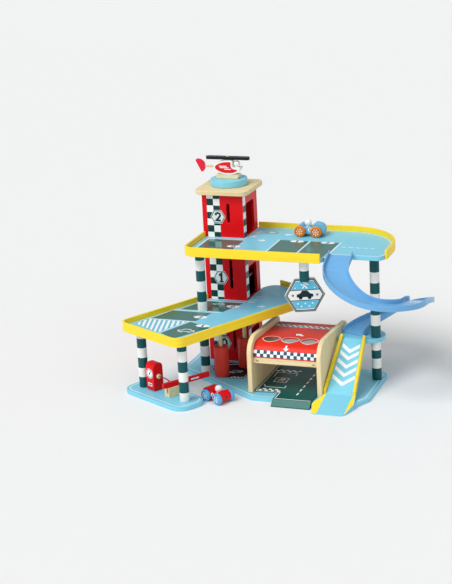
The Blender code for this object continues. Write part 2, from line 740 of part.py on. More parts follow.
def build_workshop():
    foot = LEVEL_0 + GAP
    outline = [*shop_profile(0, 0, foot), (SHOP_BACK, foot)]
    outline = filleted(outline, [0, SHOP_SHOULDER, SHOP_BACK_ROUND, 0], 8)
    for name, x in (("workshop_left_side", SHOP_LEFT), ("workshop_right_side", SHOP_RIGHT - SHOP_SIDE)):
        add(upright(plate(name, [outline], SHOP_SIDE), "X", (x, 0, 0)), BARE)

    inner_width = SHOP_RIGHT - SHOP_LEFT - 2 * SHOP_SIDE - 2 * GAP
    inner_left = SHOP_LEFT + SHOP_SIDE + GAP
    beam_top = LEVEL_0 + SHOP_BEAM_BOTTOM + SHOP_BEAM
    line = shop_profile(SHOP_SHEET_INSET, SHOP_SHEET_DROP, beam_top + GAP)
    shoulder = 0.9 * (line[1].y - line[0].y)
    outer = open_fillet(line, [shoulder], 10)
    sheet_outline = outer + list(reversed(beside(outer, -SHOP_SHEET)))
    sheet = upright(plate("workshop_roof", [sheet_outline], inner_width), "X", (inner_left, 0, 0))
    middle = (SHOP_LEFT + SHOP_RIGHT) / 2
    for number in (-1, 0, 1):
        place = (middle + number * SHOP_HOLE_PITCH, SHOP_HOLE_Y, beam_top)
        boolean(sheet, hide(rod(f"roof_hole_{number + 1}", SHOP_HOLE, SHOP_HEIGHT, place, 24)))
    add(baked(sheet), ORANGE_RED)

    front = SHOP_FRONT + SHOP_SHEET_INSET
    beam = box("workshop_front_beam", (inner_width, SHOP_SIDE, SHOP_BEAM),
               (middle, front + SHOP_SIDE / 2, LEVEL_0 + SHOP_BEAM_BOTTOM))
    add(beam, BARE)
    back = SHOP_BACK - SHOP_SHEET_INSET / 2
    rear_top = LEVEL_0 + SHOP_HEIGHT - SHOP_SHEET_DROP - SHOP_RISE - SHOP_SHEET - GAP
    beam = box("workshop_back_beam", (inner_width, SHOP_SIDE, SHOP_BEAM),
               (middle, back - SHOP_SIDE / 2, rear_top - SHOP_BEAM))
    add(beam, BARE)


def build_wash():
    for number, place in enumerate((NEAR_ROLLER_AT, FAR_ROLLER_AT), 1):
        low = LEVEL_0 + GAP
        top = LEVEL_1 - BOARD - GAP
        add(rod(f"wash_dowel_{number}", ROLLER_DOWEL, top - low, (*place, low), 16), BARE, smooth=True)
        bore = ROLLER_DOWEL + TURN_FIT
        profile = [
            (bore, ROLLER_HEIGHT), (ROLLER_RADIUS, ROLLER_HEIGHT), (ROLLER_RADIUS, 0), (bore, 0), (bore, ROLLER_HEIGHT)
        ]
        roller = turned(f"wash_roller_{number}", profile, (*place, low + GAP))
        add(roller, RED, smooth=True)


def build_landing():
    depth = LANDING_BACK - LANDING_FRONT
    corners = [
        (SHOP_RIGHT + GAP, LANDING_FRONT),
        (LANDING_RIGHT, LANDING_FRONT),
        (LANDING_RIGHT, LANDING_BACK),
        (SHOP_RIGHT + GAP, LANDING_BACK),
    ]
    round_end = depth / 2 - GAP
    slab("landing_board", [filleted(corners, [0, round_end, round_end, 0], 8)], LANDING_TOP, BOARD, SKY)


def ramp_edge(side, share, half_shift=0.0):
    """A point of the ramp's side edge, left for -1 and right for 1, at a share of the way down, as (x, y)."""
    top = LANDING_FRONT - GAP
    half = RAMP_TOP_HALF + (RAMP_FOOT_HALF - RAMP_TOP_HALF) * share + half_shift
    return (RAMP_MIDDLE + side * half, top + (RAMP_FOOT - top) * share)


def build_ramp():
    top = LANDING_FRONT - GAP
    wide = 2 * (RAMP_FOOT_HALF + RAMP_RAIL + TONGUE_FLARE) + BOARD
    fall = (LANDING_TOP - RAMP_FOOT_TOP) / (top - RAMP_FOOT)
    tall = RAMP_BOARD / math.cos(math.atan(fall))
    side = [
        (top, LANDING_TOP),
        (RAMP_FOOT, RAMP_FOOT_TOP),
        (RAMP_FOOT, RAMP_FOOT_TOP - tall),
        (top, LANDING_TOP - tall),
    ]
    plan = [ramp_edge(-1, 0), ramp_edge(-1, 1), ramp_edge(1, 1), ramp_edge(1, 0)]
    add(baked(trimmed("ramp_board", plan, side, wide)), SKY)
    rail_side = [
        (top, LANDING_TOP + RAMP_RAIL_UP),
        (RAMP_FOOT, RAMP_FOOT_TOP + RAMP_RAIL_UP),
        (RAMP_FOOT, RAMP_FOOT_TOP - tall),
        (top, LANDING_TOP - tall),
    ]
    for name, hand in (("ramp_rail_left", -1), ("ramp_rail_right", 1)):
        plan = [
            ramp_edge(hand, 0, GAP),
            ramp_edge(hand, 1, GAP),
            ramp_edge(hand, 1, GAP + RAMP_RAIL),
            ramp_edge(hand, 0, GAP + RAMP_RAIL),
        ]
        add(baked(trimmed(name, plan, rail_side, wide)), YELLOW)

    start = RAMP_FOOT - GAP
    half = RAMP_FOOT_HALF + GAP + RAMP_RAIL
    left = RAMP_MIDDLE - half
    right = RAMP_MIDDLE + half
    plan = [
        (left, start),
        (left, SHOP_FRONT - 2 * GAP),
        (left - TONGUE_FLARE, ROAD_FRONT),
        (left - TONGUE_FLARE + TONGUE_RETURN, TONGUE_END),
        (right - TONGUE_RETURN / 2, TONGUE_END),
        (right + TONGUE_RETURN / 2, BASE_FRONT - GAP),
        (right, start),
    ]
    plan = filleted(plan, [0, 0.010, 0.012, 0.006, 0.014, 0.014, 0], 5)
    side = [
        (start, RAMP_FOOT_TOP),
        (TONGUE_END, TONGUE_TOE),
        (TONGUE_END, 0),
        (BASE_FRONT - GAP, 0),
        (BASE_FRONT - GAP, LEVEL_0 + GAP),
        (start, LEVEL_0 + GAP),
    ]
    add(baked(trimmed("ramp_tongue", plan, side, wide)), SKY)


def slide_point(distance, straight_1, straight_2):
    """A place on the slide's middle line, at a distance from its mouth, with its outward side, in plan."""
    half_turn = math.pi * SLIDE_RADIUS
    if distance < straight_1:
        return Vector((SLIDE_CENTRE_X - SLIDE_RADIUS, DECK_2_SLIDE_EDGE - GAP - distance)), Vector((-1, 0))
    distance -= straight_1
    if distance < half_turn:
        angle = distance / SLIDE_RADIUS
        out = Vector((-math.cos(angle), -math.sin(angle)))
        return Vector((SLIDE_CENTRE_X, SLIDE_FRONT_CENTRE)) + out * SLIDE_RADIUS, out
    distance -= half_turn
    if distance < straight_2:
        return Vector((SLIDE_CENTRE_X + SLIDE_RADIUS, SLIDE_FRONT_CENTRE + distance)), Vector((1, 0))
    angle = math.pi + (distance - straight_2) / SLIDE_RADIUS
    out = Vector((-math.cos(angle), -math.sin(angle)))
    return Vector((SLIDE_CENTRE_X, SLIDE_BACK_CENTRE)) + out * SLIDE_RADIUS, out


def smooth_share(share, knots):
    """A smooth rise through the knots, each a (share of the way, share of the fall)."""
    index = max(i for i in range(len(knots) - 1) if knots[i][0] <= share)
    points = [knots[max(index - 1, 0)], knots[index], knots[index + 1], knots[min(index + 2, len(knots) - 1)]]
    slopes = [
        (points[i + 2][1] - points[i][1]) / (points[i + 2][0] - points[i][0]) for i in (0, 1)
    ]
    span = points[2][0] - points[1][0]
    t = (share - points[1][0]) / span
    h00, h10 = 2 * t**3 - 3 * t**2 + 1, t**3 - 2 * t**2 + t
    h01, h11 = -2 * t**3 + 3 * t**2, t**3 - t**2
    return h00 * points[1][1] + h10 * span * slopes[0] + h01 * points[2][1] + h11 * span * slopes[1]


def build_slide():
    """A trough with two walls, swept round the right pillar from the top deck's mouth to the landing."""
    straight_1 = DECK_2_SLIDE_EDGE - GAP - SLIDE_FRONT_CENTRE
    straight_2 = SLIDE_BACK_CENTRE - SLIDE_FRONT_CENTRE
    length = straight_1 + math.pi * SLIDE_RADIUS + straight_2 + SLIDE_END_ANGLE * SLIDE_RADIUS
    high = LEVEL_2
    low = LANDING_TOP + GAP + SLIDE_SHEET
    half, sheet, wall_height = SLIDE_HALF_WIDTH, SLIDE_SHEET, SLIDE_WALL
    section = [
        (half, wall_height), (half, -sheet), (-half, -sheet), (-half, wall_height),
        (sheet - half, wall_height), (sheet - half, 0), (half - sheet, 0), (half - sheet, wall_height),
    ]
    trough = bmesh.new()
    rings = []
    for step in range(SLIDE_STEPS + 1):
        share = step / SLIDE_STEPS
        place, out = slide_point(length * share, straight_1, straight_2)
        floor = high + (low - high) * smooth_share(min(share, 0.99999), SLIDE_FALL)
        if step == SLIDE_STEPS:
            floor = low
        ring = [trough.verts.new((*(place + out * side), floor + up)) for side, up in section]
        rings.append(ring)
    count = len(section)
    for near, far in zip(rings, rings[1:]):
        for index in range(count):
            after = (index + 1) % count
            trough.faces.new((near[index], near[after], far[after], far[index]))
    for ring in (rings[0], rings[-1]):
        trough.faces.new(ring)
    bmesh.ops.recalc_face_normals(trough, faces=trough.faces)
    bmesh.ops.triangulate(trough, faces=trough.faces)
    mesh = bpy.data.meshes.new("slide")
    trough.to_mesh(mesh)
    trough.free()
    slide = bpy.data.objects.new("slide", mesh)
    bpy.context.scene.collection.objects.link(slide)
    add(slide, PLASTIC, smooth=True)


def ball_figure(name, head, stem, place, parent):
    """A ball-headed figure on a short round stem, whose foot is at the place."""
    profile = []
    for step in range(8):
        angle = math.pi * 0.83 * step / 7
        profile.append((head * math.sin(angle), stem + head * (1 + math.cos(angle))))
    neck = head * 0.5
    profile += [(neck, profile[-1][1]), (neck, 0), (0, 0)]
    add(turned(name, profile, place, 16), WHITE, parent, smooth=True)
    return neck


def build_helicopter():
    pad = rod("helipad", HELIPAD_RADIUS, HELIPAD_HEIGHT, (*HELIPAD_AT, ROOF_TOP + GAP), 40)
    add(pad, SKY, smooth=True)
    deck = ROOF_TOP + GAP + HELIPAD_HEIGHT + GAP
    craft = empty("helicopter", (*HELIPAD_AT, deck))
    half = SKID_LENGTH / 2
    outline = [(-half, 0), (half, 0), (half, SKID_HEIGHT), (-half, SKID_HEIGHT)]
    outline = filleted(outline, [0.003, 0.003, 0.001, 0.001], 3)
    skid = upright(plate("helicopter_skid", [outline], SKID_WIDTH), "Y", (0, -SKID_WIDTH / 2, 0))
    add(skid, BARE, craft)

    low = SKID_HEIGHT + GAP
    middle = HELI_HEIGHT / 2
    half = HELI_LENGTH / 2
    start = math.acos(HELI_NOTCH / half)
    hull = []
    keel = middle * (1 - HELI_TAPER / 2)
    for step in range(25):
        angle = start + (2 * math.pi - start) * step / 24
        lean = 1 - HELI_TAPER * (1 - math.cos(angle)) / 2
        height = max(keel * HELI_KEEL + middle * lean * math.sin(angle), 0)
        if len(hull) > 1 and height == hull[-1][1] == hull[-2][1]:
            hull.pop()
        hull.append((half * math.cos(angle), height))
    middle = keel * HELI_KEEL
    hull.append((HELI_NOTCH, middle))
    radii = [0] * (len(hull) - 2) + [0.0015, 0.004]
    hull = filleted(hull, radii, 4)
    body = upright(plate("helicopter_body", [hull], HELI_WIDTH), "Y", (0, -HELI_WIDTH / 2, low))
    top = low + middle + keel
    place = (PILOT_X, 0, low + middle - STEM_DEPTH + GAP)
    neck = ball_figure("helicopter_pilot", PILOT_HEAD, STEM_DEPTH, place, craft)
    boom_start = BOOM_INSERT - half - BOOM_LENGTH
    cuts = (
        rod("pilot_hole", neck + GAP, HELI_HEIGHT, (PILOT_X, 0, low + middle - STEM_DEPTH), 20),
        rod("boom_hole", BOOM_RADIUS + GAP, BOOM_LENGTH, (boom_start, 0, low + middle), 16, "X"),
        rod("rotor_pin_hole", ROTOR_PIN + GAP, HELI_HEIGHT, (0, 0, top - ROTOR_PIN_DEPTH), 12),
    )
    for cut in cuts:
        hide(cut).parent = craft
        boolean(body, cut)
    body.parent = craft
    add(baked(body), WHITE, craft)
    boom_length = BOOM_LENGTH - GAP
    boom = rod("helicopter_tail_boom", BOOM_RADIUS, boom_length, (boom_start, 0, low + middle), 16, "X")
    add(boom, BARE, craft, smooth=True)

    flat = math.sqrt(FIN_RADIUS**2 - (BOOM_RADIUS + GAP) ** 2)
    outline = []
    for step in range(15):
        angle = FIN_TILT - math.pi / 2 + math.pi * step / 14
        outline.append((min(FIN_RADIUS * math.cos(angle), flat), FIN_RADIUS * math.sin(angle)))
    outline = filleted(outline, [0.003] + [0] * 13 + [0.003], 4)
    fin = plate("helicopter_tail_fin", [outline], FIN_THICKNESS)
    upright(fin, "Y", (boom_start - GAP - flat, -FIN_THICKNESS / 2, low + middle))
    add(fin, RED, craft)

    rotor_low = top + ROTOR_RAISE
    head_low = rotor_low + ROTOR_THICKNESS + GAP
    foot = top - ROTOR_PIN_DEPTH + GAP
    profile = [
        (0, head_low + ROTOR_PIN_CAP),
        (ROTOR_PIN_HEAD, head_low + ROTOR_PIN_CAP),
        (ROTOR_PIN_HEAD, head_low),
        (ROTOR_PIN, head_low),
        (ROTOR_PIN, foot),
        (0, foot),
    ]
    add(turned("helicopter_rotor_pin", profile, (0, 0, 0), 16), BARE, craft, smooth=True)
    half = ROTOR_LENGTH / 2
    wide = ROTOR_WIDTH / 2
    outline = filleted([(-half, -wide), (half, -wide), (half, wide), (-half, wide)], wide * 0.9, 5)
    bore = ring(ROTOR_PIN + TURN_FIT)
    rotor = plate("helicopter_rotor", [outline, bore], ROTOR_THICKNESS)
    rotor.location.z = rotor_low
    add(rotor, BLACK, craft)


def build_pump():
    """The pump, its nozzle plug and its hose stand in the island's frame, which is turned like deck 1."""
    place = strip(*PUMP_AT)
    pump = empty("fuel_pump", (*place, LEVEL_0 + GAP), STRIP_ANGLE - math.pi / 2)
    corners = [
        (-PUMP_DEPTH / 2, 0), (PUMP_DEPTH / 2, 0), (PUMP_DEPTH / 2, PUMP_HEIGHT), (-PUMP_DEPTH / 2, PUMP_HEIGHT)
    ]
    outline = filleted(corners, [0.004, 0.004, PUMP_ROUND, PUMP_ROUND], 6)
    body = upright(plate("pump_body", [outline], PUMP_WIDTH), "X", (-PUMP_WIDTH / 2, 0, 0))
    socket = rod("nozzle_socket", NOZZLE_RADIUS + GAP, NOZZLE_LENGTH,
                 (PUMP_WIDTH / 2 - NOZZLE_INSERT, 0, NOZZLE_HEIGHT), 20, "X")
    hide(socket).parent = pump
    boolean(body, socket)
    body.parent = pump
    add(baked(body), RED, pump)
    nozzle_start = PUMP_WIDTH / 2 - NOZZLE_INSERT + GAP
    nozzle = rod("pump_nozzle", NOZZLE_RADIUS, NOZZLE_LENGTH, (nozzle_start, 0, NOZZLE_HEIGHT), 20, "X")
    add(nozzle, BARE, pump, smooth=True)

    points = [Vector((nozzle_start + NOZZLE_LENGTH + GAP, 0, NOZZLE_HEIGHT))]
    points += [Vector(point) for point in HOSE_POINTS]
    fine = []
    for index in range(len(points) - 1):
        before, here = points[max(index - 1, 0)], points[index]
        after, beyond = points[index + 1], points[min(index + 2, len(points) - 1)]
        for step in range(HOSE_STEPS):
            t = step / HOSE_STEPS
            spot = 2 * here + (after - before) * t
            spot += (2 * before - 5 * here + 4 * after - beyond) * t**2
            spot += (3 * here - before - 3 * after + beyond) * t**3
            fine.append(spot / 2)
    fine.append(points[-1])
    curve = bpy.data.curves.new("pump_hose", "CURVE")
    curve.dimensions = "3D"
    curve.bevel_depth = HOSE_RADIUS
    curve.bevel_resolution = 2
    curve.use_fill_caps = True
    spline = curve.splines.new("POLY")
    spline.points.add(len(fine) - 1)
    for point, spot in zip(spline.points, fine):
        point.co = (*spot, 1)
    hose = bpy.data.objects.new("pump_hose", curve)
    bpy.context.scene.collection.objects.link(hose)
    add(hose, HOSE_RED, pump)


def build_barrier():
    """The arm's lug turns on a pin in the block's slot, and the arm rests on the block's top."""
    gate = empty("barrier", (*BARRIER_AT, LEVEL_0 + GAP), BARRIER_ANGLE - math.pi / 2)
    half = BARRIER_WIDTH / 2
    slot_width = ARM_THICKNESS + 2 * SLIDE_FIT
    length = BARRIER_BEFORE + BARRIER_BEYOND
    block = box("barrier_block", (BARRIER_WIDTH, length, BARRIER_HEIGHT),
                (0, length / 2 - BARRIER_BEFORE, 0))
    slot = box("barrier_slot", (slot_width, BARRIER_BEFORE + BARRIER_SLOT_END + GAP, BARRIER_HEIGHT),
               (ARM_X, (BARRIER_SLOT_END - BARRIER_BEFORE - GAP) / 2, BARRIER_SLOT_FLOOR))
    bore = rod("barrier_pin_hole", BARRIER_PIN + GAP, 2 * BARRIER_WIDTH,
               (-BARRIER_WIDTH, 0, BARRIER_PIN_HEIGHT), 16, "X")
    for cut in (slot, bore):
        hide(cut).parent = gate
        boolean(block, cut)
    block.parent = gate
    add(baked(block), BARE, gate)
    pin = rod("barrier_pin", BARRIER_PIN, BARRIER_WIDTH, (-half, 0, BARRIER_PIN_HEIGHT), 16, "X")
    add(pin, BARE, gate, smooth=True)

    low = BARRIER_HEIGHT + GAP - BARRIER_PIN_HEIGHT
    top = low + ARM_HEIGHT
    corners = [
        (-ARM_LUG, -ARM_LUG), (ARM_LUG, -ARM_LUG), (ARM_LUG, low), (ARM_REACH, low),
        (ARM_REACH, top), (-ARM_TAIL, top), (-ARM_TAIL, low), (-ARM_LUG, low),
    ]
    outline = filleted(corners, [ARM_LUG * 0.98, ARM_LUG * 0.98, 0, 0.001, 0.001, 0.002, 0.002, 0], 5)
    arm = plate("barrier_arm", [outline, ring(BARRIER_PIN + TURN_FIT)], ARM_THICKNESS)
    upright(arm, "X", (ARM_X - ARM_THICKNESS / 2, 0, BARRIER_PIN_HEIGHT))
    add(arm, RED, gate)


def build_car(name, place, level, paint_body, paint_wheels):
    x, y, turn = place
    car = empty(name, (x, y, level + GAP), turn)
    rear = CAR_REAR
    front = rear + CAR_LENGTH
    hood = CAR_ROOF * 0.86
    corners = [
        (rear, CAR_FLOOR), (front, CAR_FLOOR), (front, hood), (DRIVER_X + 0.016, CAR_ROOF),
        (DRIVER_X + 0.009, CAR_SEAT), (DRIVER_X - 0.008, CAR_SEAT), (DRIVER_X - 0.011, CAR_ROOF - 0.001),
        (rear, CAR_SEAT + 0.002),
    ]
    outline = filleted(corners, [0.003, 0.005, 0.012, 0.004, 0.003, 0.003, 0.004, 0.005], 5)
    body = upright(plate(name + "_body", [outline], CAR_WIDTH), "Y", (0, -CAR_WIDTH / 2, 0))
    for end, axle_x in (("front", WHEELBASE / 2), ("rear", -WHEELBASE / 2)):
        bore = rod(f"{name}_{end}_bore", AXLE_RADIUS + TURN_FIT, 2 * CAR_WIDTH, (axle_x, -CAR_WIDTH, WHEEL_RADIUS),
                   16, "Y")
        hide(bore).parent = car
        boolean(body, bore)
    seat = CAR_SEAT - STEM_DEPTH
    neck = ball_figure(name + "_driver", DRIVER_HEAD, STEM_DEPTH, (DRIVER_X, 0, seat + GAP), car)
    seat_hole = rod(name + "_seat_hole", neck + GAP, CAR_SEAT, (DRIVER_X, 0, seat), 20)
    hide(seat_hole).parent = car
    boolean(body, seat_hole)
    body.parent = car
    add(baked(body), paint_body, car)

    track = CAR_WIDTH / 2 + 0.001
    out = track + WHEEL_WIDTH
    profile = [
        (0, out),
        (WHEEL_RADIUS, out),
        (WHEEL_RADIUS, track),
        (AXLE_RADIUS, track),
        (AXLE_RADIUS, -track),
        (WHEEL_RADIUS, -track),
        (WHEEL_RADIUS, -out),
        (0, -out),
    ]
    for end, axle_x in (("front", WHEELBASE / 2), ("rear", -WHEELBASE / 2)):
        pair = turned(f"{name}_{end}_wheels", profile, (axle_x, 0, WHEEL_RADIUS), 22)
        pair.rotation_euler = (math.pi / 2, 0, 0)
        add(pair, paint_wheels, car, smooth=True)


def centre_on_origin():
    """Moves the root so that the middle of the whole footprint stands on the origin."""
    bpy.context.view_layer.update()
    graph = bpy.context.evaluated_depsgraph_get()
    places = []
    for obj in parts.objects:
        if obj.type in ("MESH", "CURVE"):
            solid = obj.evaluated_get(graph)
            mesh = solid.to_mesh()
            places += [solid.matrix_world @ vertex.co for vertex in mesh.vertices]
            solid.to_mesh_clear()
    for axis in (0, 1):
        values = [place[axis] for place in places]
        root.location[axis] = -(min(values) + max(values)) / 2


build_base()
build_tower()
build_deck_1()
build_deck_2()
build_pillars()
build_sign()
build_workshop()
build_wash()
build_landing()
build_ramp()
build_slide()
build_helicopter()
build_pump()
build_barrier()
build_car("blue_car", BLUE_CAR, LEVEL_2, SKY, ORANGE)
build_car("red_car", RED_CAR, 0.0, RED, WHEEL_BLUE)
centre_on_origin()
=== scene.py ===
# %% [markdown]
# # Dressing a wooden toy garage
# The model that comes in is plain: exact boards, rods and panels with sharp edges and no finish. This
# lesson rounds the edges the way sanded and painted wood is rounded, turns the round pieces afresh, and
# lays the printed road, bays, numbers and chequers on top as thin films, because on the real toy they are
# ink on paint. Nothing is moved: every new piece takes its place from the model and rides on the same body.

import json
import math

import bmesh
import bpy
from mathutils import Matrix, Vector
from mathutils.bvhtree import BVHTree


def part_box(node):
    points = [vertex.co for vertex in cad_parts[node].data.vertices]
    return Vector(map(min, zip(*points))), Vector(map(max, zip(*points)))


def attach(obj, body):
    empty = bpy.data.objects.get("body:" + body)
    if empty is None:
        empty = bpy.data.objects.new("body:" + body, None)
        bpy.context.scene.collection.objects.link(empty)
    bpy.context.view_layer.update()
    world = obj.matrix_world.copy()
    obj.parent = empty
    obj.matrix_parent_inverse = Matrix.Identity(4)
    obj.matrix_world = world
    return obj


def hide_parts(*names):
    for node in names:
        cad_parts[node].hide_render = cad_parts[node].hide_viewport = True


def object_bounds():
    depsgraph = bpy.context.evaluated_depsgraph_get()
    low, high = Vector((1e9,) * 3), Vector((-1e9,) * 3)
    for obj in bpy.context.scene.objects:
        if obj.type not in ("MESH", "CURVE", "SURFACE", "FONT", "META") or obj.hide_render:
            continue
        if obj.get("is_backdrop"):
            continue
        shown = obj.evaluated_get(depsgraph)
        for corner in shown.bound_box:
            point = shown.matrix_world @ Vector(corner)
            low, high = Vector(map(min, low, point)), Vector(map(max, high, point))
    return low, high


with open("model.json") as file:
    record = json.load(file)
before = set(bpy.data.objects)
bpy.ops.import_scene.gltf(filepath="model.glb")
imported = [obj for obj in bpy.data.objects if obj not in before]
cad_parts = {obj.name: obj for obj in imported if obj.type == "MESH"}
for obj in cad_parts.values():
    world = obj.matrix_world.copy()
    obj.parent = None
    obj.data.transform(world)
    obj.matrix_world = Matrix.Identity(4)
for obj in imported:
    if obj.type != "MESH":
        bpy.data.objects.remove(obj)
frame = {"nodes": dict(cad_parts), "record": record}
cad_low, cad_high = (corner.copy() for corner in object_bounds())
body_of = {node: body for body, nodes in frame["record"]["behaviour"]["bodies"].items() for node in nodes}

# %% [markdown]
# ## Plan millimetres
# The garage is laid out in millimetres from the foot of the lift tower's front left corner. Keeping to
# those numbers makes every print easy to place, and one small function turns them into the metres of the
# model. Deck 1 is a strip turned by 62 degrees, so it gets its own pair of directions: along it and across
# it.

# %% Plan coordinates
CORNER = Vector((-0.202594, 0.08515, 0))
RIGHT, BACK, UP = Vector((1, 0, 0)), Vector((0, 1, 0)), Vector((0, 0, 1))
STRIP_TURN = math.radians(62)
ALONG = Vector((math.cos(STRIP_TURN), math.sin(STRIP_TURN), 0))
ACROSS = Vector((-math.sin(STRIP_TURN), math.cos(STRIP_TURN), 0))
GROUND, ROAD, LEVEL_1, LEVEL_2 = 9.0, 12.3, 148.5, 288.0


def at(x, y, z=0.0):
    """A place in plan millimetres, as metres in the model."""
    return CORNER + Vector((x, y, z)) / 1000


def strip(along, across):
    """A place on deck 1 in plan millimetres, from its distances along and across the strip."""
    return (ALONG * along + ACROSS * across)[:2]


def in_scene(name, data):
    """A new object in the scene, made of a mesh, a curve, a lamp or a camera."""
    obj = bpy.data.objects.new(name, data)
    bpy.context.scene.collection.objects.link(obj)
    return obj


print("tower corner at", at(0, 0)[:])

# %% [markdown]
# ## Camera
# The picture was taken from the right and a little above with a long lens, and the camera leans slightly. A
# camera in Blender looks along its own -Z axis, so its turn is built from the three directions that it
# should have: right, up and backwards. The focal length is given for a 36 mm long side. The plain Standard
# view is chosen over AgX, which would wash the bright toy colours out.

# %% Camera
CAMERA_AT = Vector((1.06229, -3.05809, 1.20775))
CAMERA_YAW, CAMERA_DOWN, CAMERA_ROLL = (math.radians(angle) for angle in (21.221, 17.182, -3.0))
CAMERA_LENS = 101.07
right = Vector((math.cos(CAMERA_YAW), math.sin(CAMERA_YAW), 0))
look = Vector((
    -math.sin(CAMERA_YAW) * math.cos(CAMERA_DOWN),
    math.cos(CAMERA_YAW) * math.cos(CAMERA_DOWN),
    -math.sin(CAMERA_DOWN),
))
up = right.cross(look)
leaned_right = right * math.cos(CAMERA_ROLL) + up * math.sin(CAMERA_ROLL)
leaned_up = up * math.cos(CAMERA_ROLL) - right * math.sin(CAMERA_ROLL)
camera = in_scene("camera", bpy.data.cameras.new("camera"))
camera.data.sensor_width = 36
camera.data.lens = CAMERA_LENS
turn = Matrix((leaned_right, leaned_up, -look)).transposed().to_4x4()
camera.matrix_world = Matrix.Translation(CAMERA_AT) @ turn
bpy.context.scene.camera = camera
bpy.context.scene.view_settings.view_transform = "Standard"
print("camera at", CAMERA_AT[:], "lens", camera.data.lens)

# %% [markdown]
# ## Shader groups
# Painted wood is never one flat colour. The coat is a touch thicker here and thinner there, the wood under
# it lifts the paint in faint lines, and sanded edges show a lighter tone. These effects are needed in many
# materials, so each is built once as a node group, with a socket for every value that a material may
# change. A group only puts out colours, values and heights. The shader itself stays in the material.

# %% Shader node helpers


def new_group(name, inputs, outputs):
    """A shader node group with its two end nodes. Four numbers make a colour, three a vector."""
    group = bpy.data.node_groups.new(name, "ShaderNodeTree")
    for label, default in inputs.items():
        kind = {4: "Color", 3: "Vector"}[len(default)] if isinstance(default, tuple) else "Float"
        socket = group.interface.new_socket(label, in_out="INPUT", socket_type="NodeSocket" + kind)
        socket.default_value = default
    for label in outputs:
        kind = "Color" if label == "Colour" else "Float"
        group.interface.new_socket(label, in_out="OUTPUT", socket_type="NodeSocket" + kind)
    return group, group.nodes.new("NodeGroupInput").outputs, group.nodes.new("NodeGroupOutput").inputs


def fill(tree, sockets, values):
    """Gives each socket its value, or a link where the value is another socket."""
    for key, value in dict(values).items():
        if isinstance(value, bpy.types.NodeSocket):
            tree.links.new(value, sockets[key])
        else:
            sockets[key].default_value = value


def node(tree, kind, inputs=(), **settings):
    """A shader node with its settings and its inputs."""
    made = tree.nodes.new("ShaderNode" + kind)
    for key, value in settings.items():
        setattr(made, key, value)
    fill(tree, made.inputs, inputs)
    return made


def math_node(tree, operation, first, second):
    """The outcome of one operation on two values."""
    return node(tree, "Math", {0: first, 1: second}, operation=operation).outputs[0]


print("node helpers ready")

# %% [markdown]
# ### Noise and masks
# Most groups need the same few steps: the place on the piece, a noise read there, and that noise turned
# into a small change or a mask. Each step is a function, so that a group reads like a recipe.

# %% Noise and mask helpers


def place_on(tree):
    """The place on the piece, in metres along its own axes."""
    return node(tree, "TexCoord").outputs["Object"]


def stretched(tree, place, by):
    """The place times a vector, which draws a noise out along the axis with the smallest number."""
    return node(tree, "VectorMath", {0: place, 1: by}, operation="MULTIPLY").outputs[0]


def noise(tree, place, scale, detail, roughness=0.5, distortion=0.0):
    """A noise at each place, as a value around 0.5."""
    return node(tree, "TexNoise", {
        "Vector": place, "Scale": scale, "Detail": detail, "Roughness": roughness, "Distortion": distortion,
    }).outputs[0]


def swing(tree, value, amount):
    """A value around 0.5, made into a change around 0 that is as strong as the amount."""
    return math_node(tree, "MULTIPLY", math_node(tree, "SUBTRACT", value, 0.5), amount)


def within(tree, value, start, end, least=0.0):
    """How far a value has come from start to end, as a number from the least one to 1."""
    return node(tree, "MapRange", {0: value, 1: start, 2: end, 3: least, 4: 1.0}).outputs[0]


def blend_colours(tree, share, first, second):
    """The colour between two colours, at a share of the way."""
    return node(tree, "Mix", {0: share, 6: first, 7: second}, data_type="RGBA").outputs[2]


print("noise and mask helpers ready")

# %% [markdown]
# ### Brushed coat
# Two noises make the coat: a broad, soft one for tone and gloss, and a fine, stretched one for the faint
# lines of the wood that the paint follows. A single noise would look like dirt, and a texture image would
# need a layout of the surface, which turned and bevelled pieces don't have.

# %% Brushed coat group
coat_group, into, out = new_group("brushed_coat", {
    "Colour": (0.5, 0.5, 0.5, 1), "Patch size": 0.05, "Tone change": 0.1, "Line stretch": (1, 1, 0.1),
    "Line scale": 900.0, "Line tone": 0.05, "Roughness": 0.4, "Gloss change": 0.08,
}, ("Colour", "Roughness", "Height"))
tree = coat_group
place = place_on(tree)
patches = noise(tree, place, math_node(tree, "DIVIDE", 1.0, into["Patch size"]), 4.0, 0.55)
lines = noise(tree, stretched(tree, place, into["Line stretch"]), into["Line scale"], 3.0, 0.6)
patch_tone, line_tone = swing(tree, patches, into["Tone change"]), swing(tree, lines, into["Line tone"])
tone = math_node(tree, "ADD", math_node(tree, "ADD", patch_tone, line_tone), 1.0)
toned = node(tree, "VectorMath", {0: into["Colour"], "Scale": tone}, operation="SCALE").outputs[0]
gloss = swing(tree, patches, into["Gloss change"])
roughness = math_node(tree, "ADD", into["Roughness"], gloss)
fill(tree, out, {"Colour": toned, "Roughness": roughness, "Height": lines})
print(tree.name, len(tree.nodes), "nodes")

# %% [markdown]
# ### Rubbed edges
# Fingers and other toys rub an edge first. The Bevel node gives the normal of a rounded copy of the
# surface, and where that normal leaves the true one, there is an edge. A noise breaks the line up, since
# wear is never even. This was chosen over vertex pointiness, which needs a dense mesh to say anything.

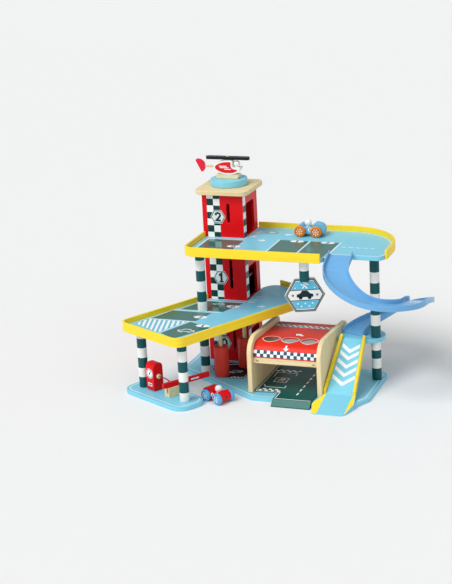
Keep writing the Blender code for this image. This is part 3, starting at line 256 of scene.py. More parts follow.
# %% Rubbed edges group
edge_group, into, out = new_group("rubbed_edges", {
    "Colour": (0.5, 0.5, 0.5, 1), "Worn colour": (0.8, 0.7, 0.5, 1), "Width": 0.0012, "Amount": 0.5,
}, ("Colour",))
tree = edge_group
rounded = node(tree, "Bevel", {"Radius": into["Width"]}, samples=3).outputs[0]
true_normal = node(tree, "NewGeometry").outputs["Normal"]
facing = node(tree, "VectorMath", {0: rounded, 1: true_normal}, operation="DOT_PRODUCT").outputs["Value"]
edge = within(tree, facing, 0.99, 0.82)
broken = within(tree, noise(tree, place_on(tree), 160.0, 3.0), 0.42, 0.66, 0.1)
mask = math_node(tree, "MULTIPLY", math_node(tree, "MULTIPLY", edge, broken), into["Amount"])
fill(tree, out, {"Colour": blend_colours(tree, mask, into["Colour"], into["Worn colour"])})
print(tree.name, len(tree.nodes), "nodes")

# %% [markdown]
# ### Wood grain
# Bare beech or pine shows long soft bands with finer streaks and a few dark pores. Stretching the place by
# a vector before the noise reads it turns round blotches into streaks along one axis, and each material
# says which axis that is.

# %% Wood grain group
grain_group, into, out = new_group("wood_grain", {
    "Light wood": (0.8, 0.66, 0.45, 1), "Dark wood": (0.6, 0.42, 0.22, 1), "Stretch": (0.08, 1, 1),
    "Band scale": 90.0, "Streak strength": 0.35, "Roughness": 0.6,
}, ("Colour", "Roughness", "Height"))
tree = grain_group
along = stretched(tree, place_on(tree), into["Stretch"])
bands = noise(tree, along, into["Band scale"], 5.0, 0.6, 0.6)
streaks = noise(tree, along, 900.0, 4.0, 0.7)
soft = math_node(tree, "MULTIPLY", within(tree, bands, 0.35, 0.7), 0.55)
fine = math_node(tree, "MULTIPLY", within(tree, streaks, 0.5, 0.8), into["Streak strength"])
share = node(tree, "Math", {0: soft, 1: fine}, operation="ADD", use_clamp=True).outputs[0]
wood = blend_colours(tree, share, into["Light wood"], into["Dark wood"])
roughness = math_node(tree, "ADD", into["Roughness"], math_node(tree, "MULTIPLY", share, 0.12))
fill(tree, out, {"Colour": wood, "Roughness": roughness, "Height": streaks})
print(tree.name, len(tree.nodes), "nodes")

# %% [markdown]
# ## Finishes
# With the groups ready a finish is only a few numbers. Paint gets the coat and the rubbed edges, and a thin
# clear coat on the shader for the satin shine of toy lacquer. Bare wood gets the grain alone. Printed ink
# is paint without wear, since a film has no wooden edge to show. Colours are given as on a screen and
# turned into the linear values that a shader needs.

# %% Finish helpers
BUMP_DEPTH = 0.0002


def screen(colour):
    """A colour as on a screen, three numbers up to 255, as the linear values that a shader takes."""
    shares = [value / 255 for value in colour]
    return tuple(
        (share / 12.92 if share <= 0.04045 else ((share + 0.055) / 1.055) ** 2.4) for share in shares
    ) + (1.0,)


def new_material(name):
    """A new material, its node tree and its shader."""
    material = bpy.data.materials.new(name)
    material.use_nodes = True
    return material, material.node_tree, material.node_tree.nodes["Principled BSDF"]


def raised(tree, height, strength):
    """The normal of a surface that a height lifts a little."""
    return node(tree, "Bump", {"Height": height, "Strength": strength, "Distance": BUMP_DEPTH}).outputs[0]


def painted(name, colour, roughness, clear=0.08, worn=0.3, tone=0.10, stretch=(1, 1, 0.1),
            relief=0.25, lines=900.0, line_tone=0.05, shine=0.2, also=()):
    """Painted or printed wood. No wear and no edge colour where worn is 0."""
    material, tree, shader = new_material(name)
    colour = screen(colour)
    coat = node(tree, "Group", {
        "Colour": colour, "Patch size": 0.045, "Tone change": tone, "Line stretch": stretch,
        "Line scale": lines, "Line tone": line_tone, "Roughness": roughness, "Gloss change": 0.12,
    }, node_tree=coat_group).outputs
    shown = coat["Colour"]
    if worn:
        pale = tuple(0.45 * value + 0.42 for value in colour[:3]) + (1.0,)
        wear = {"Colour": shown, "Worn colour": pale, "Amount": worn}
        shown = node(tree, "Group", wear, node_tree=edge_group).outputs["Colour"]
    fill(tree, shader.inputs, {
        "Base Color": shown, "Roughness": coat["Roughness"], "Normal": raised(tree, coat["Height"], relief),
        "Specular IOR Level": shine, "Coat Weight": clear, "Coat Roughness": 0.16, **dict(also),
    })
    return material


def ink(name, colour, roughness=0.36, clear=0.08, relief=0.1, **looks):
    """Printed ink: smooth paint without wear."""
    return painted(name, colour, roughness, clear, worn=0, relief=relief, **looks)


def bare(name, light, dark, stretch):
    """Bare sanded wood, its grain running where the stretch is smallest."""
    material, tree, shader = new_material(name)
    grain = node(tree, "Group", {
        "Light wood": screen(light), "Dark wood": screen(dark), "Stretch": stretch, "Roughness": 0.58,
    }, node_tree=grain_group).outputs
    fill(tree, shader.inputs, {
        "Base Color": grain["Colour"], "Roughness": grain["Roughness"],
        "Normal": raised(tree, grain["Height"], 0.35), "Specular IOR Level": 0.35,
    })
    return material


print("finish helpers ready")

# %% [markdown]
# ### Paints, inks and bare wood
# The blue boards lie flat, so their faint lines run along them. The yellow rails show the most wood through
# their paint, in upright streaks.

# %% Paints, inks and bare wood
SKY = painted("sky_blue_paint", (130, 207, 230), 0.32, 0.1, stretch=(0.08, 1, 1))
YELLOW = painted("yellow_paint", (253, 219, 48), 0.42, stretch=(0.02, 0.02, 1), relief=0.5, lines=300.0,
                 line_tone=0.4)
RED = painted("red_paint", (228, 2, 16), 0.4, 0.04)
ORANGE_RED = painted("orange_red_paint", (226, 46, 26), 0.4, 0.04, worn=0.2, stretch=(1, 0.1, 0.1),
                     shine=0.15)
TEAL = painted("teal_paint", (12, 84, 88), 0.36, 0.06, worn=0.2)
WHITE = painted("white_paint", (240, 240, 236), 0.36, 0.1, worn=0.2, tone=0.05)
BLACK = painted("black_paint", (8, 20, 26), 0.34, 0.12, worn=0.2)
ORANGE = painted("orange_paint", (232, 132, 36), 0.36, 0.1)
WHEEL_BLUE = painted("wheel_blue_paint", (92, 174, 226), 0.36, 0.1)
CAR_BLUE = painted("car_blue_paint", (108, 190, 228), 0.34, 0.12)
FIN_RED = painted("fin_red_paint", (226, 30, 56), 0.38, 0.08)
ROLLER_RED = painted("roller_red_paint", (238, 66, 54), 0.42, 0.06)
INK_WHITE = ink("white_ink", (248, 250, 250), tone=0.04)
INK_GREEN = ink("bay_green_ink", (56, 112, 102), 0.14, 0.3, 0.08)
INK_ROAD = ink("road_green_ink", (8, 84, 76), clear=0.02, shine=0.12)
INK_PAD = ink("pad_dark_ink", (4, 30, 38), clear=0.02, shine=0.12)
INK_BAND = ink("band_blue_ink", (34, 88, 112), 0.34)
INK_LIP = ink("lip_green_ink", (84, 128, 122), 0.3, 0.1)
INK_NAVY = ink("dark_line_ink", (12, 40, 54), 0.34)
INK_TEAL = ink("chequer_teal_ink", (10, 62, 58), 0.32)
INK_SKY = ink("light_blue_ink", (96, 190, 220), 0.32)
INK_RED = ink("red_ink", (220, 20, 34))
INK_YELLOW = ink("yellow_ink", (255, 226, 50), 0.38, relief=0.2)
INK_GREY = ink("label_grey_ink", (226, 232, 234), 0.38)
BARE_LEVEL = bare("bare_wood", (240, 222, 176), (206, 172, 112), (0.06, 1, 1))
BARE_UP = bare("bare_wood_upright", (240, 221, 176), (220, 192, 138), (1, 1, 0.06))
print(len(bpy.data.materials), "materials")

# %% [markdown]
# ### Slide plastic, steel and hose
# The slide is the one moulded piece: a smooth blue plastic whose gloss is a little uneven, with a trace of
# light under its skin. The screws are zinc plated steel. The hose is a soft, dull cord.

# %% Plastic, steel and hose
PLASTIC = painted("blue_plastic", (112, 174, 222), 0.28, 0.15, worn=0, tone=0.04, relief=0.06,
                  also={"Subsurface Weight": 0.04, "Subsurface Radius": (0.004, 0.006, 0.01)})
STEEL = painted("zinc_steel", (196, 190, 170), 0.30, 0.0, worn=0, tone=0.15, relief=0.15,
                also={"Metallic": 0.9})
HOSE_RED = painted("hose_red", (150, 20, 26), 0.6, 0.0, worn=0, tone=0.2, relief=0.5)
print("plastic, steel and hose ready")

# %% [markdown]
# ## Sanded edges on the boards
# Each node's mesh is copied, its split corners are welded and its flat faces are joined into whole faces,
# so that a Bevel modifier sees only the real edges. Every edge sharper than 30 degrees then gets a small
# rounding, which is what catches the light on a painted toy. The bevel's normals are hardened to keep the
# flats flat.

# %% Dress a node


def welded(name):
    """A node's shape with welded corners and whole flat faces, ready to work on."""
    work = bmesh.new()
    work.from_mesh(frame["nodes"][name].data)
    bmesh.ops.remove_doubles(work, verts=work.verts, dist=0.000002)
    bmesh.ops.dissolve_limit(work, angle_limit=math.radians(0.6), verts=work.verts, edges=work.edges)
    bmesh.ops.recalc_face_normals(work, faces=work.faces)
    return work


def mesh_of(work, name, paints):
    """The mesh of a worked shape, with its paints in order."""
    mesh = bpy.data.meshes.new(name)
    work.to_mesh(mesh)
    work.free()
    for material in paints:
        mesh.materials.append(material)
    return mesh


def finished(data, body, replaced=None):
    """The piece made of a mesh or a curve, which rides on its body and may stand for a node."""
    obj = in_scene(data.name, data)
    if obj.type == "MESH":
        data.shade_smooth()
        data.set_sharp_from_angle(angle=math.radians(38))
    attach(obj, body)
    if replaced:
        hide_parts(replaced)
    return obj


def dressed(name, material, edge, steps=2):
    """The node's own shape with its edges rounded by a number of millimetres."""
    obj = finished(mesh_of(welded(name), name + "_sanded", [material]), body_of[name], name)
    bevel = obj.modifiers.new("sanded_edge", "BEVEL")
    bevel.width, bevel.segments = edge / 1000, steps
    bevel.limit_method, bevel.angle_limit = "ANGLE", math.radians(30)
    bevel.harden_normals = True


print("ready to dress", len(frame["nodes"]), "nodes")

# %% [markdown]
# ### Boards, panels and blocks
# Most boards are rounded by 0.8 mm. Bodies that were sanded round, such as the cars', get more, and thin or
# tight pieces get less, so that the rounding never eats their shape.

# %% Boards, panels and blocks
BOARDS = {
    SKY: "base_board island_board deck_1_board deck_2_board landing_board ramp_board ramp_tongue helipad",
    YELLOW: "deck_1_rail deck_2_front_rail deck_2_back_rail ramp_rail_left ramp_rail_right",
    RED: "tower_front tower_left tower_right tower_back pump_body barrier_arm red_car_body",
    ORANGE_RED: "workshop_roof",
    BARE_LEVEL: "tower_roof workshop_front_beam workshop_back_beam helicopter_skid barrier_pin",
    BARE_UP: "barrier_block workshop_left_side workshop_right_side",
    INK_ROAD: "road_board",
    CAR_BLUE: "blue_car_body",
    WHITE: "sign_board helicopter_body",
    BLACK: "helicopter_rotor lift_cabin",
    FIN_RED: "helicopter_tail_fin",
}
EDGE = 0.8
OTHER_EDGES = {
    "helipad": 1.5, "helicopter_body": 1.6, "red_car_body": 3.0, "blue_car_body": 3.0, "pump_body": 1.4,
    "tower_roof": 1.2, "workshop_roof": 0.5, "road_board": 0.4, "ramp_tongue": 0.6, "ramp_board": 0.5,
    "lift_cabin": 0.4, "barrier_pin": 0.3, "deck_1_rail": 1.0, "deck_2_front_rail": 1.0,
    "deck_2_back_rail": 1.0, "workshop_left_side": 1.4, "workshop_right_side": 1.4, "barrier_block": 1.2,
    "sign_board": 0.9, "helicopter_rotor": 1.5, "helicopter_tail_fin": 1.2,
}
for material, names in BOARDS.items():
    for name in names.split():
        dressed(name, material, OTHER_EDGES.get(name, EDGE), 4 if name.endswith("car_body") else 2)
print(sum(len(names.split()) for names in BOARDS.values()), "boards, panels and blocks with rounded edges")

# %% [markdown]
# ## The fuel hose
# The hose is a short soft cord, 2.2 mm thick. It leaves the wooden nozzle plug, droops to the island board
# and ends in a knot behind the barrier. Its route repeats the layout's points, given in the pump's own
# directions, and a smooth curve through them is divided finely, so that the cord bends without corners.

# %% Fuel hose
PUMP_AT = at(*strip(-199, -52.5), 9.3)
PUMP_X, PUMP_Y = -ACROSS, ALONG
HOSE_ROUTE = (
    (17.1, 0, 31), (20.6, 0, 31.1), (26.2, 1.0, 31.2), (31.2, 4.5, 28.5), (34.5, 10.5, 22.5),
    (36.2, 17.5, 14.5), (38.0, 24.5, 6.5), (40.5, 31.5, 1.4), (42.0, 39.5, 1.4),
)
HOSE_WIDTH = 0.0022


def from_pump(x, y, z):
    """A place near the pump in millimetres: out from its nozzle side, along the strip, above the island."""
    return PUMP_AT + (PUMP_X * x + PUMP_Y * y + UP * z) / 1000


def smooth_route(points, steps):
    """Points on a smooth curve through the given ones."""
    fine = []
    for index in range(len(points) - 1):
        before, here = points[max(index - 1, 0)], points[index]
        after, beyond = points[index + 1], points[min(index + 2, len(points) - 1)]
        for step in range(steps):
            t = step / steps
            spot = 2 * here + (after - before) * t + (2 * before - 5 * here + 4 * after - beyond) * t**2
            fine.append((spot + (3 * here - before - 3 * after + beyond) * t**3) / 2)
    return fine + [points[-1]]


def hose_through(name, spots, closed=False):
    """A piece of hose through the spots, open or closed to a ring."""
    curve = bpy.data.curves.new(name, "CURVE")
    curve.dimensions = "3D"
    curve.bevel_depth, curve.bevel_resolution = HOSE_WIDTH / 2, 4
    curve.use_fill_caps = not closed
    spline = curve.splines.new("POLY")
    spline.points.add(len(spots) - 1)
    for point, spot in zip(spline.points, spots):
        point.co = (*spot, 1)
    spline.use_cyclic_u = closed
    curve.materials.append(HOSE_RED)
    return finished(curve, "garage", "pump_hose")


hose_path = smooth_route([from_pump(*spot) for spot in HOSE_ROUTE], 3)
hose = hose_through("fuel_hose", hose_path)

# %% [markdown]
# ## Turned pieces
# Pillars, rollers, dowels, wheels and balls come off a lathe, so they are made as one here: a half outline
# is turned about an axis. That gives true rounds with softened rims, and each ring of the outline can take
# its own paint, which is how the pillars get their bands without any texture.

# %% Lathe


def lathe(name, outline, foot, axis, paints, sides=48, replaced=None):
    """Turns (radius, height, paint number) rings in millimetres about an axis that stands on a foot."""
    axis = axis.normalized()
    side = axis.orthogonal().normalized()
    other = axis.cross(side)
    work = bmesh.new()
    rings = []
    for radius, height, _ in outline:
        middle = foot + axis * height / 1000
        if radius == 0:
            rings.append([work.verts.new(middle)])
            continue
        rings.append([
            work.verts.new(middle + (side * math.cos(turned) + other * math.sin(turned)) * radius / 1000)
            for turned in (2 * math.pi * step / sides for step in range(sides))
        ])
    for low, high, (_, _, paint) in zip(rings, rings[1:], outline):
        for step in range(sides):
            after = (step + 1) % sides
            corners = [ring[turn % len(ring)] for ring, turn in (
                (low, step), (low, after), (high, after), (high, step))]
            work.faces.new(list(dict.fromkeys(corners))).material_index = paint
    bmesh.ops.recalc_face_normals(work, faces=work.faces)
    finished(mesh_of(work, name, paints), body_of.get(replaced, "garage"), replaced)


def middle_of(name):
    """The middle of a node in metres and its size in millimetres."""
    low, high = (Vector(corner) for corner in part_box(name))
    return (low + high) / 2, (high - low) * 1000


def foot_of(name):
    """The middle of a node's underside in metres and its size in millimetres."""
    middle, size = middle_of(name)
    return middle - UP * size.z / 2000, size


def rod_outline(radius, length, ease):
    """A plain rod whose two rims are eased by a small round."""
    turns = (0, 0.5, 1.05, math.pi / 2)
    rim = [(radius - ease + ease * math.sin(t), ease - ease * math.cos(t), 0) for t in turns]
    return [(0, 0, 0)] + rim + [(r, length - h, 0) for r, h, _ in reversed(rim)] + [(0, length, 0)]


print("lathe ready")

# %% [markdown]
# ### Striped pillars
# The pillars are 20 mm dowels, dipped white and banded in teal. The bands are about 22 mm tall and don't
# start at the same height on every pillar, so each pillar lists its band edges from its foot. The number
# before them is the lowest band's paint, 0 for teal and 1 for white.

# %% Striped pillars
PILLAR_RADIUS = 10
PILLAR_BANDS = {
    "pillar_front_left_lower": (1, [18, 39.5, 62, 84.5, 107]),
    "pillar_front_left_upper": (1, [21.5, 44, 66.5, 89.5, 112]),
    "pillar_island_back": (0, [23.4, 43.4, 65.8, 87.1, 108]),
    "pillar_island_front": (1, [19.6, 43.3, 63.9, 86.5, 109]),
    "pillar_right_lower": (0, [26, 47.5, 65.5]),
    "pillar_right_upper": (0, [26, 49, 72, 95, 118, 141, 168]),
}
for name, (paint, edges) in PILLAR_BANDS.items():
    foot, size = foot_of(name)
    rod = rod_outline(PILLAR_RADIUS, size.z, 0.7)
    half = len(rod) // 2
    outline = [(r, h, paint) for r, h, _ in rod[:half]]
    for edge in edges:
        paint = 1 - paint
        outline.append((PILLAR_RADIUS, edge, paint))
    outline += [(r, h, paint) for r, h, _ in rod[half:]]
    lathe(name + "_striped", outline, foot, UP, [TEAL, WHITE], replaced=name)
print(len(PILLAR_BANDS), "striped pillars")

# %% [markdown]
# ### Dowels, rollers and pins
# The two car wash rollers turn on bare dowels. Each roller keeps its bore, so its outline runs up the
# outside and back down the hole. The short rods of the helicopter and the nozzle plug are plain turned
# pegs, and the rotor's pin has a flat head above the rotor.

# %% Dowels, rollers and pins
DOWEL_RADIUS, BORE_RADIUS = 4, 4.25
for number in (1, 2):
    name = f"wash_dowel_{number}"
    foot, size = foot_of(name)
    lathe(name + "_turned", rod_outline(DOWEL_RADIUS, size.z, 0.4), foot, UP, [BARE_UP], 32, name)
    name = f"wash_roller_{number}"
    foot, size = foot_of(name)
    radius = size.x / 2
    lower = [(BORE_RADIUS, 1, 0), (BORE_RADIUS + 1, 0, 0), (radius - 1.2, 0, 0), (radius - 0.3, 0.4, 0),
             (radius, 1.4, 0)]
    outline = lower + [(r, size.z - h, 0) for r, h, _ in reversed(lower)] + lower[:1]
    lathe(name + "_turned", outline, foot, UP, [ROLLER_RED], 56, name)
lathe("pump_nozzle_plug", rod_outline(5, 8, 1.4), from_pump(8.8, 0, 31), PUMP_X, [BARE_LEVEL], 32,
      "pump_nozzle")
middle, size = middle_of("helicopter_tail_boom")
boom = rod_outline(size.z / 2, size.x, 0.4)
lathe("helicopter_tail_boom_turned", boom, middle - RIGHT * size.x / 2000, RIGHT, [BARE_LEVEL], 28,
      "helicopter_tail_boom")
foot, _ = foot_of("helicopter_rotor_pin")
pin = [(0, 0, 0), (1.6, 0, 0), (2, 0.4, 0), (2, 17, 0), (3.8, 17, 0), (4, 17.3, 0), (4, 17.8, 0),
       (3.5, 18.3, 0), (2.4, 18.5, 0), (0, 18.5, 0)]
lathe("helicopter_rotor_pin_turned", pin, foot, UP, [BARE_LEVEL], 28, "helicopter_rotor_pin")
print("dowels, rollers and pins turned")

# %% [markdown]
# ### Ball-headed drivers
# Each driver is a wooden ball on a short stem, painted white. The ball is a half circle turned about the
# upright, with the stem running on below it, all in one outline.

# %% Drivers
BALL_STEPS = 16
for name, radius in (("blue_car_driver", 7.8), ("red_car_driver", 7.8), ("helicopter_pilot", 6.8)):
    foot, size = foot_of(name)
    neck = 0.6 * radius
    start = math.acos(neck / radius)
    outline = [(0, 0, 0), (neck - 0.3, 0, 0), (neck, 0.3, 0)]
    for step in range(BALL_STEPS):
        angle = -start + (math.pi / 2 + start) * step / BALL_STEPS
        outline.append((radius * math.cos(angle), size.z - radius + radius * math.sin(angle), 0))
    outline.append((0, size.z, 0))
    lathe(name + "_ball", outline, foot, UP, [WHITE], 36, name)
print("three drivers")

# %% [markdown]
# ### Wheels
# A wheel pair is one piece with its axle, so the two wheels and the axle are one turned outline. The rims
# are well rounded, a groove marks the tyre and the pale end of the wooden axle shows in the hub. Each ring
# of the profile ends with its paint: 0 for the wheel's own, 1 for the dark groove, 2 for bare wood.

# %% Wheels
CARS = {"blue_car": (0.0, ORANGE), "red_car": (math.radians(152), WHEEL_BLUE)}
WHEEL_REACH = 21.0
WHEEL_WIDTH = 8
WHEEL_PROFILE = ((2.6, 0.6, 2), (2.6, 0.9, 0), (3.4, 0.9, 0), (4.2, 0.0, 0), (7.6, 0.0, 0), (8.2, 0.5, 1),
                 (8.9, 0.5, 0), (9.4, 0.0, 0), (10.4, 0.1, 0), (11.5, 0.9, 0), (12, 2.2, 0), (12, 6.2, 0),
                 (11.5, 7.4, 0), (10.6, 8, 0))


def car_ways(heading):
    """A car's way ahead and its way to the right, for the direction that it points in."""
    ahead = Vector((math.cos(heading), math.sin(heading), 0))
    return ahead, Vector((ahead.y, -ahead.x, 0))


for car, (heading, paint) in CARS.items():
    _, to_right = car_ways(heading)
    for end in ("front", "rear"):
        name = f"{car}_{end}_wheels"
        middle, _ = middle_of(name)
        near = [(0, 0.6 - WHEEL_REACH, 2)] + [(r, h - WHEEL_REACH, p) for r, h, p in WHEEL_PROFILE]
        near.append((2, WHEEL_WIDTH - WHEEL_REACH, 0))
        far_paints = [p for _, _, p in reversed(near[:-1])] + [0]
        far = [(r, -h, p) for (r, h, _), p in zip(reversed(near), far_paints)]
        lathe(name + "_turned", near + far, middle, -to_right, [paint, INK_NAVY, BARE_LEVEL], 40, name)
print("four wheel pairs")

# %% [markdown]
# ## Printed films
# Printing on a painted board is a film of ink a tenth of a millimetre thick. It could be painted by a
# shader, but a sharp line at this size needs exact edges, so each print is a thin closed mesh that lies on
# its board. A print is a list of patches, each a set of flat points and the faces between them, and a place
# function that says where on the toy a flat point goes and how far it stands proud. A print on top of
# another one starts higher, so that the two never share a surface.


def film(name, patches, place, material, low=0.03, high=0.12, body="garage"):
    """A thin closed layer of ink made from flat patches, between two heights in millimetres."""
    work = bmesh.new()
    for points, faces in patches:
        lower = [work.verts.new(place(u, v, low)) for u, v in points]
        upper = [work.verts.new(place(u, v, high)) for u, v in points]
        sides = [pair for face in faces for pair in zip(face, face[1:] + face[:1])]
        for face in faces:
            work.faces.new([upper[index] for index in face])
            work.faces.new([lower[index] for index in reversed(face)])
        for start, end in sides:
            if (end, start) not in sides:
                work.faces.new([lower[start], lower[end], upper[end], upper[start]])
    bmesh.ops.recalc_face_normals(work, faces=work.faces)
    obj = finished(mesh_of(work, name, [material]), body)
    obj.data.set_sharp_from_angle(angle=math.radians(20))


print("film ready")

# %% [markdown]
# ### Flat shapes
# A few shapes make all the prints: a face, a tile, a ring, every other square of a grid. A tile can be
# divided, because a film only follows a curved sheet at its points.

# %% Faces, tiles and rings


def poly(points):
    """One patch with a single face, from its corners in order."""
    return [([tuple(point) for point in points], [tuple(range(len(points)))])]


def tile(left, low, right, top, across=1, up=1):
    """A rectangle, divided so that it can follow a curved surface."""
    points = [
        (left + (right - left) * i / across, low + (top - low) * j / up)
        for j in range(up + 1) for i in range(across + 1)
    ]
    row = across + 1
    faces = [
        (j * row + i, j * row + i + 1, (j + 1) * row + i + 1, (j + 1) * row + i)
        for j in range(up) for i in range(across)
    ]
    return [(points, faces)]


def ring_points(x, y, radius, steps, flat=1.0):
    """Points round a circle, or round an oval that is flattened by a factor."""
    angles = [2 * math.pi * step / steps for step in range(steps)]
    return [(x + radius * math.cos(angle), y + radius * flat * math.sin(angle)) for angle in angles]


def chequer(left, low, right, top, columns, rows, first=0, fine=1):
    """Every other square of a grid."""
    wide, tall = (right - left) / columns, (top - low) / rows
    patches = []
    for j in range(rows):
        for i in range(columns):
            if (i + j) % 2 == first:
                x, y = left + i * wide, low + j * tall
                patches += tile(x, y, x + wide, y + tall, fine, fine)
    return patches


def moved(patches, x, y, turned=0.0, scale=1.0):
    """The patches scaled, turned in degrees and moved."""
    c, s = math.cos(math.radians(turned)) * scale, math.sin(math.radians(turned)) * scale
    return [([(x + u * c - v * s, y + u * s + v * c) for u, v in points], faces) for points, faces in patches]


print("faces, tiles and rings ready")

# %% [markdown]
# ### Lines
# A line of even width is a path moved to both of its sides, with the corners mitred as a sign painter
# would. A dashed line is a row of such strokes.

# %% Strokes and dashes


def sidestep(path, distance, closed):
    """The path moved to its left by a distance, with mitred corners."""
    count, moved_path = len(path), []
    for index, here in enumerate(path):
        ways = []
        if closed or index > 0:
            ways.append((here - path[index - 1]).normalized())
        if closed or index < count - 1:
            ways.append((path[(index + 1) % count] - here).normalized())
        normals = [Vector((-way.y, way.x)) for way in ways]
        middle = sum(normals, Vector((0, 0))).normalized()
        moved_path.append(here + middle * distance / max(middle.dot(normals[0]), 0.4))
    return moved_path


def stroke(points, width, closed=False):
    """A line of even width through the points."""
    path = [Vector(point) for point in points]
    left, right = sidestep(path, width / 2, closed), sidestep(path, -width / 2, closed)
    count = len(path)
    faces = [
        (index, count + index, count + (index + 1) % count, (index + 1) % count)
        for index in range(count if closed else count - 1)
    ]
    return [([tuple(point) for point in left + right], faces)]


def dashes(start, end, long, gap, width):
    """A dashed line, with as many whole dashes as fit."""
    start, end = Vector(start), Vector(end)
    way = (end - start).normalized()
    count = int(((end - start).length + gap) // (long + gap))
    patches = []
    for index in range(count):
        here = start + way * index * (long + gap)
        patches += stroke([here, here + way * long], width)
    return patches


print("strokes and dashes ready")

# %% [markdown]
# ### Surfaces to print on
# Three kinds of place are enough. A level board is a height. An upright face has a corner and a direction.
# A curved sheet is found by sending a ray from outside onto the node's mesh and standing the film on the
# hit.

# %% Places
RAY_START = 0.3


def level(z):
    """On a level board at a height in plan millimetres."""
    return lambda u, v, w: at(u, v, z + w)


def upright(origin, across, outward):
    """On an upright face: across runs to the right along it, outward points away from it."""
    across, outward = across.normalized(), outward.normalized()
    return lambda u, v, w: origin + (across * u + UP * v + outward * w) / 1000


def onto(name, origin, across, above, toward):
    """On a node's surface, where rays that start well outside and run toward it land."""
    work = welded(name)
    tree = BVHTree.FromBMesh(work)
    work.free()
    toward = toward.normalized()

    def place(u, v, w):
        start = origin + (across * u + above * v) / 1000
        spot, normal, _, _ = tree.ray_cast(start - toward * RAY_START, toward)
        if spot is None:
            raise ValueError(f"no {name} under {u:.1f}, {v:.1f}")
        if normal.dot(toward) > 0:
            normal = -normal
        return spot + normal * w / 1000

    return place


def from_above(name):
    """On a node's surface, cast straight down in plan millimetres."""
    return onto(name, at(0, 0), RIGHT, BACK, -UP)


print("places ready")

# %% [markdown]
# ### Outlines taken from the model
# A line that follows a board's edge must fit the board, so its outline is read from the node's own face and
# moved inward. Where a tight corner would make the moved line cross itself, those points are left out.

# %% Outlines


def face_outline(name, facing):
    """The outer line of a node's largest flat face that looks the given way, as points in metres."""
    work = welded(name)
    faces = [face for face in work.faces if face.normal.dot(facing) > 0.99]
    largest = max(faces, key=lambda face: face.calc_area())
    points = [corner.vert.co.copy() for corner in largest.loops]
    work.free()
    return points


def plan_outline(name, facing=UP):
    """The outline of a board's upper face in plan millimetres."""
    return [Vector(((point - CORNER) * 1000)[:2]) for point in face_outline(name, facing)]


def inset(points, distance):
    """An outline moved inward, without the loops that tight corners would make."""
    edges = list(zip(points, points[1:] + points[:1]))
    area = sum(a.cross(b) for a, b in edges)
    inner = sidestep(points, distance if area > 0 else -distance, True)

    def away(spot):
        """How far a spot is from the outline."""
        nearest = math.inf
        for a, b in edges:
            t = max(0, min(1, (spot - a).dot(b - a) / max((b - a).length_squared, 1e-9)))
            nearest = min(nearest, (spot - a.lerp(b, t)).length)
        return nearest

    return [spot for spot in inner if away(spot) > 0.96 * distance]


print("outlines ready")

# %% [markdown]
# ### Outlines round the boards
# A thin white line runs just inside the edge of the base, the island and both decks. It follows the board's
# own outline, read from its upper face and moved inward.

# %% Board outlines
for name, height, inward, width in (
    ("base_board", GROUND, 7.0, 1.6), ("island_board", GROUND, 7.0, 1.6),
    ("deck_1_board", LEVEL_1, 2.6, 1.5), ("deck_2_board", LEVEL_2, 2.6, 1.5),
):
    film(name + "_line", stroke(inset(plan_outline(name), inward), width, True), level(height), INK_WHITE)
print("white outlines on four boards")

# %% [markdown]
# ### Pictograms and numbers
# The bays, the road and the labels carry plain signs that any play garage has: numbers, arrows, a car seen
# from the side, a spanner crossed with a hammer. Each is drawn once, about one unit long, and then scaled
# to its place.

# %% Pictograms
CAR_BODY = [(-0.5, -0.14), (-0.5, 0.04), (-0.3, 0.09), (-0.17, 0.27), (0.14, 0.27), (0.3, 0.09), (0.5, 0.03),
            (0.5, -0.14)]
CAR_SIGN, CAR_SOLID = stroke(CAR_BODY, 0.07, True), poly(CAR_BODY)
for x in (-0.27, 0.27):
    CAR_SIGN += stroke(ring_points(x, -0.2, 0.09, 16), 0.06, True)
    CAR_SOLID += poly(ring_points(x, -0.16, 0.12, 20))
SPANNER = stroke([(0, -0.45), (0, 0.2)], 0.14)
SPANNER += stroke([(-0.16, 0.46), (-0.2, 0.3), (-0.1, 0.2), (0.1, 0.2), (0.2, 0.3), (0.16, 0.46)], 0.1)
HAMMER = stroke([(0, -0.45), (0, 0.24)], 0.11)
HAMMER += poly([(-0.26, 0.25), (0.2, 0.25), (0.3, 0.42), (-0.26, 0.42)])
CROSSED_TOOLS = moved(SPANNER, 0, 0, 42) + moved(HAMMER, 0, 0, -42)
ARROW = poly([(-0.14, 0.5), (-0.14, 0), (-0.4, 0), (0, -0.5), (0.4, 0), (0.14, 0), (0.14, 0.5)])
star_points = [(math.pi * step / 5, 0.2 if step % 2 else 0.5) for step in range(10)]
STAR = poly([(math.sin(turned) * reach, math.cos(turned) * reach) for turned, reach in star_points])
DIGITS = {
    0: stroke([(x * 0.62, y) for x, y in ring_points(0, 0, 0.4, 28)], 0.22, True),
    1: stroke([(-0.2, 0.22), (0.04, 0.4), (0.04, -0.4)], 0.23) + stroke([(-0.2, -0.43), (0.28, -0.43)], 0.16),
    2: stroke([(-0.25, 0.16), (-0.2, 0.33), (0, 0.41), (0.2, 0.33), (0.25, 0.15), (0.15, -0.02),
               (-0.16, -0.36), (0.3, -0.38)], 0.21),
}
print(len(DIGITS), "numbers, two cars, crossed tools, an arrow and a star")

# %% [markdown]
# ### Deck 2
# The top deck has three dark bays, one before the tower and two along the front rail, with white lines
# between them, a white oval with a number at the end of each bay, and a dashed lane towards the slide. Both
# decks have a row of short bars before the tower's doorway.

# %% Deck 2 prints
ON_DECK_2 = level(LEVEL_2)
OVAL_REACH, NUMBER_SIZE = 15, 12.5
DECK_2_BAYS = [(20, -117, 98, -19), (174, -117, 236, -1), (241, -117, 303, -1)]
DECK_2_OVALS = [(92, -66), (212, -6), (279, -6)]


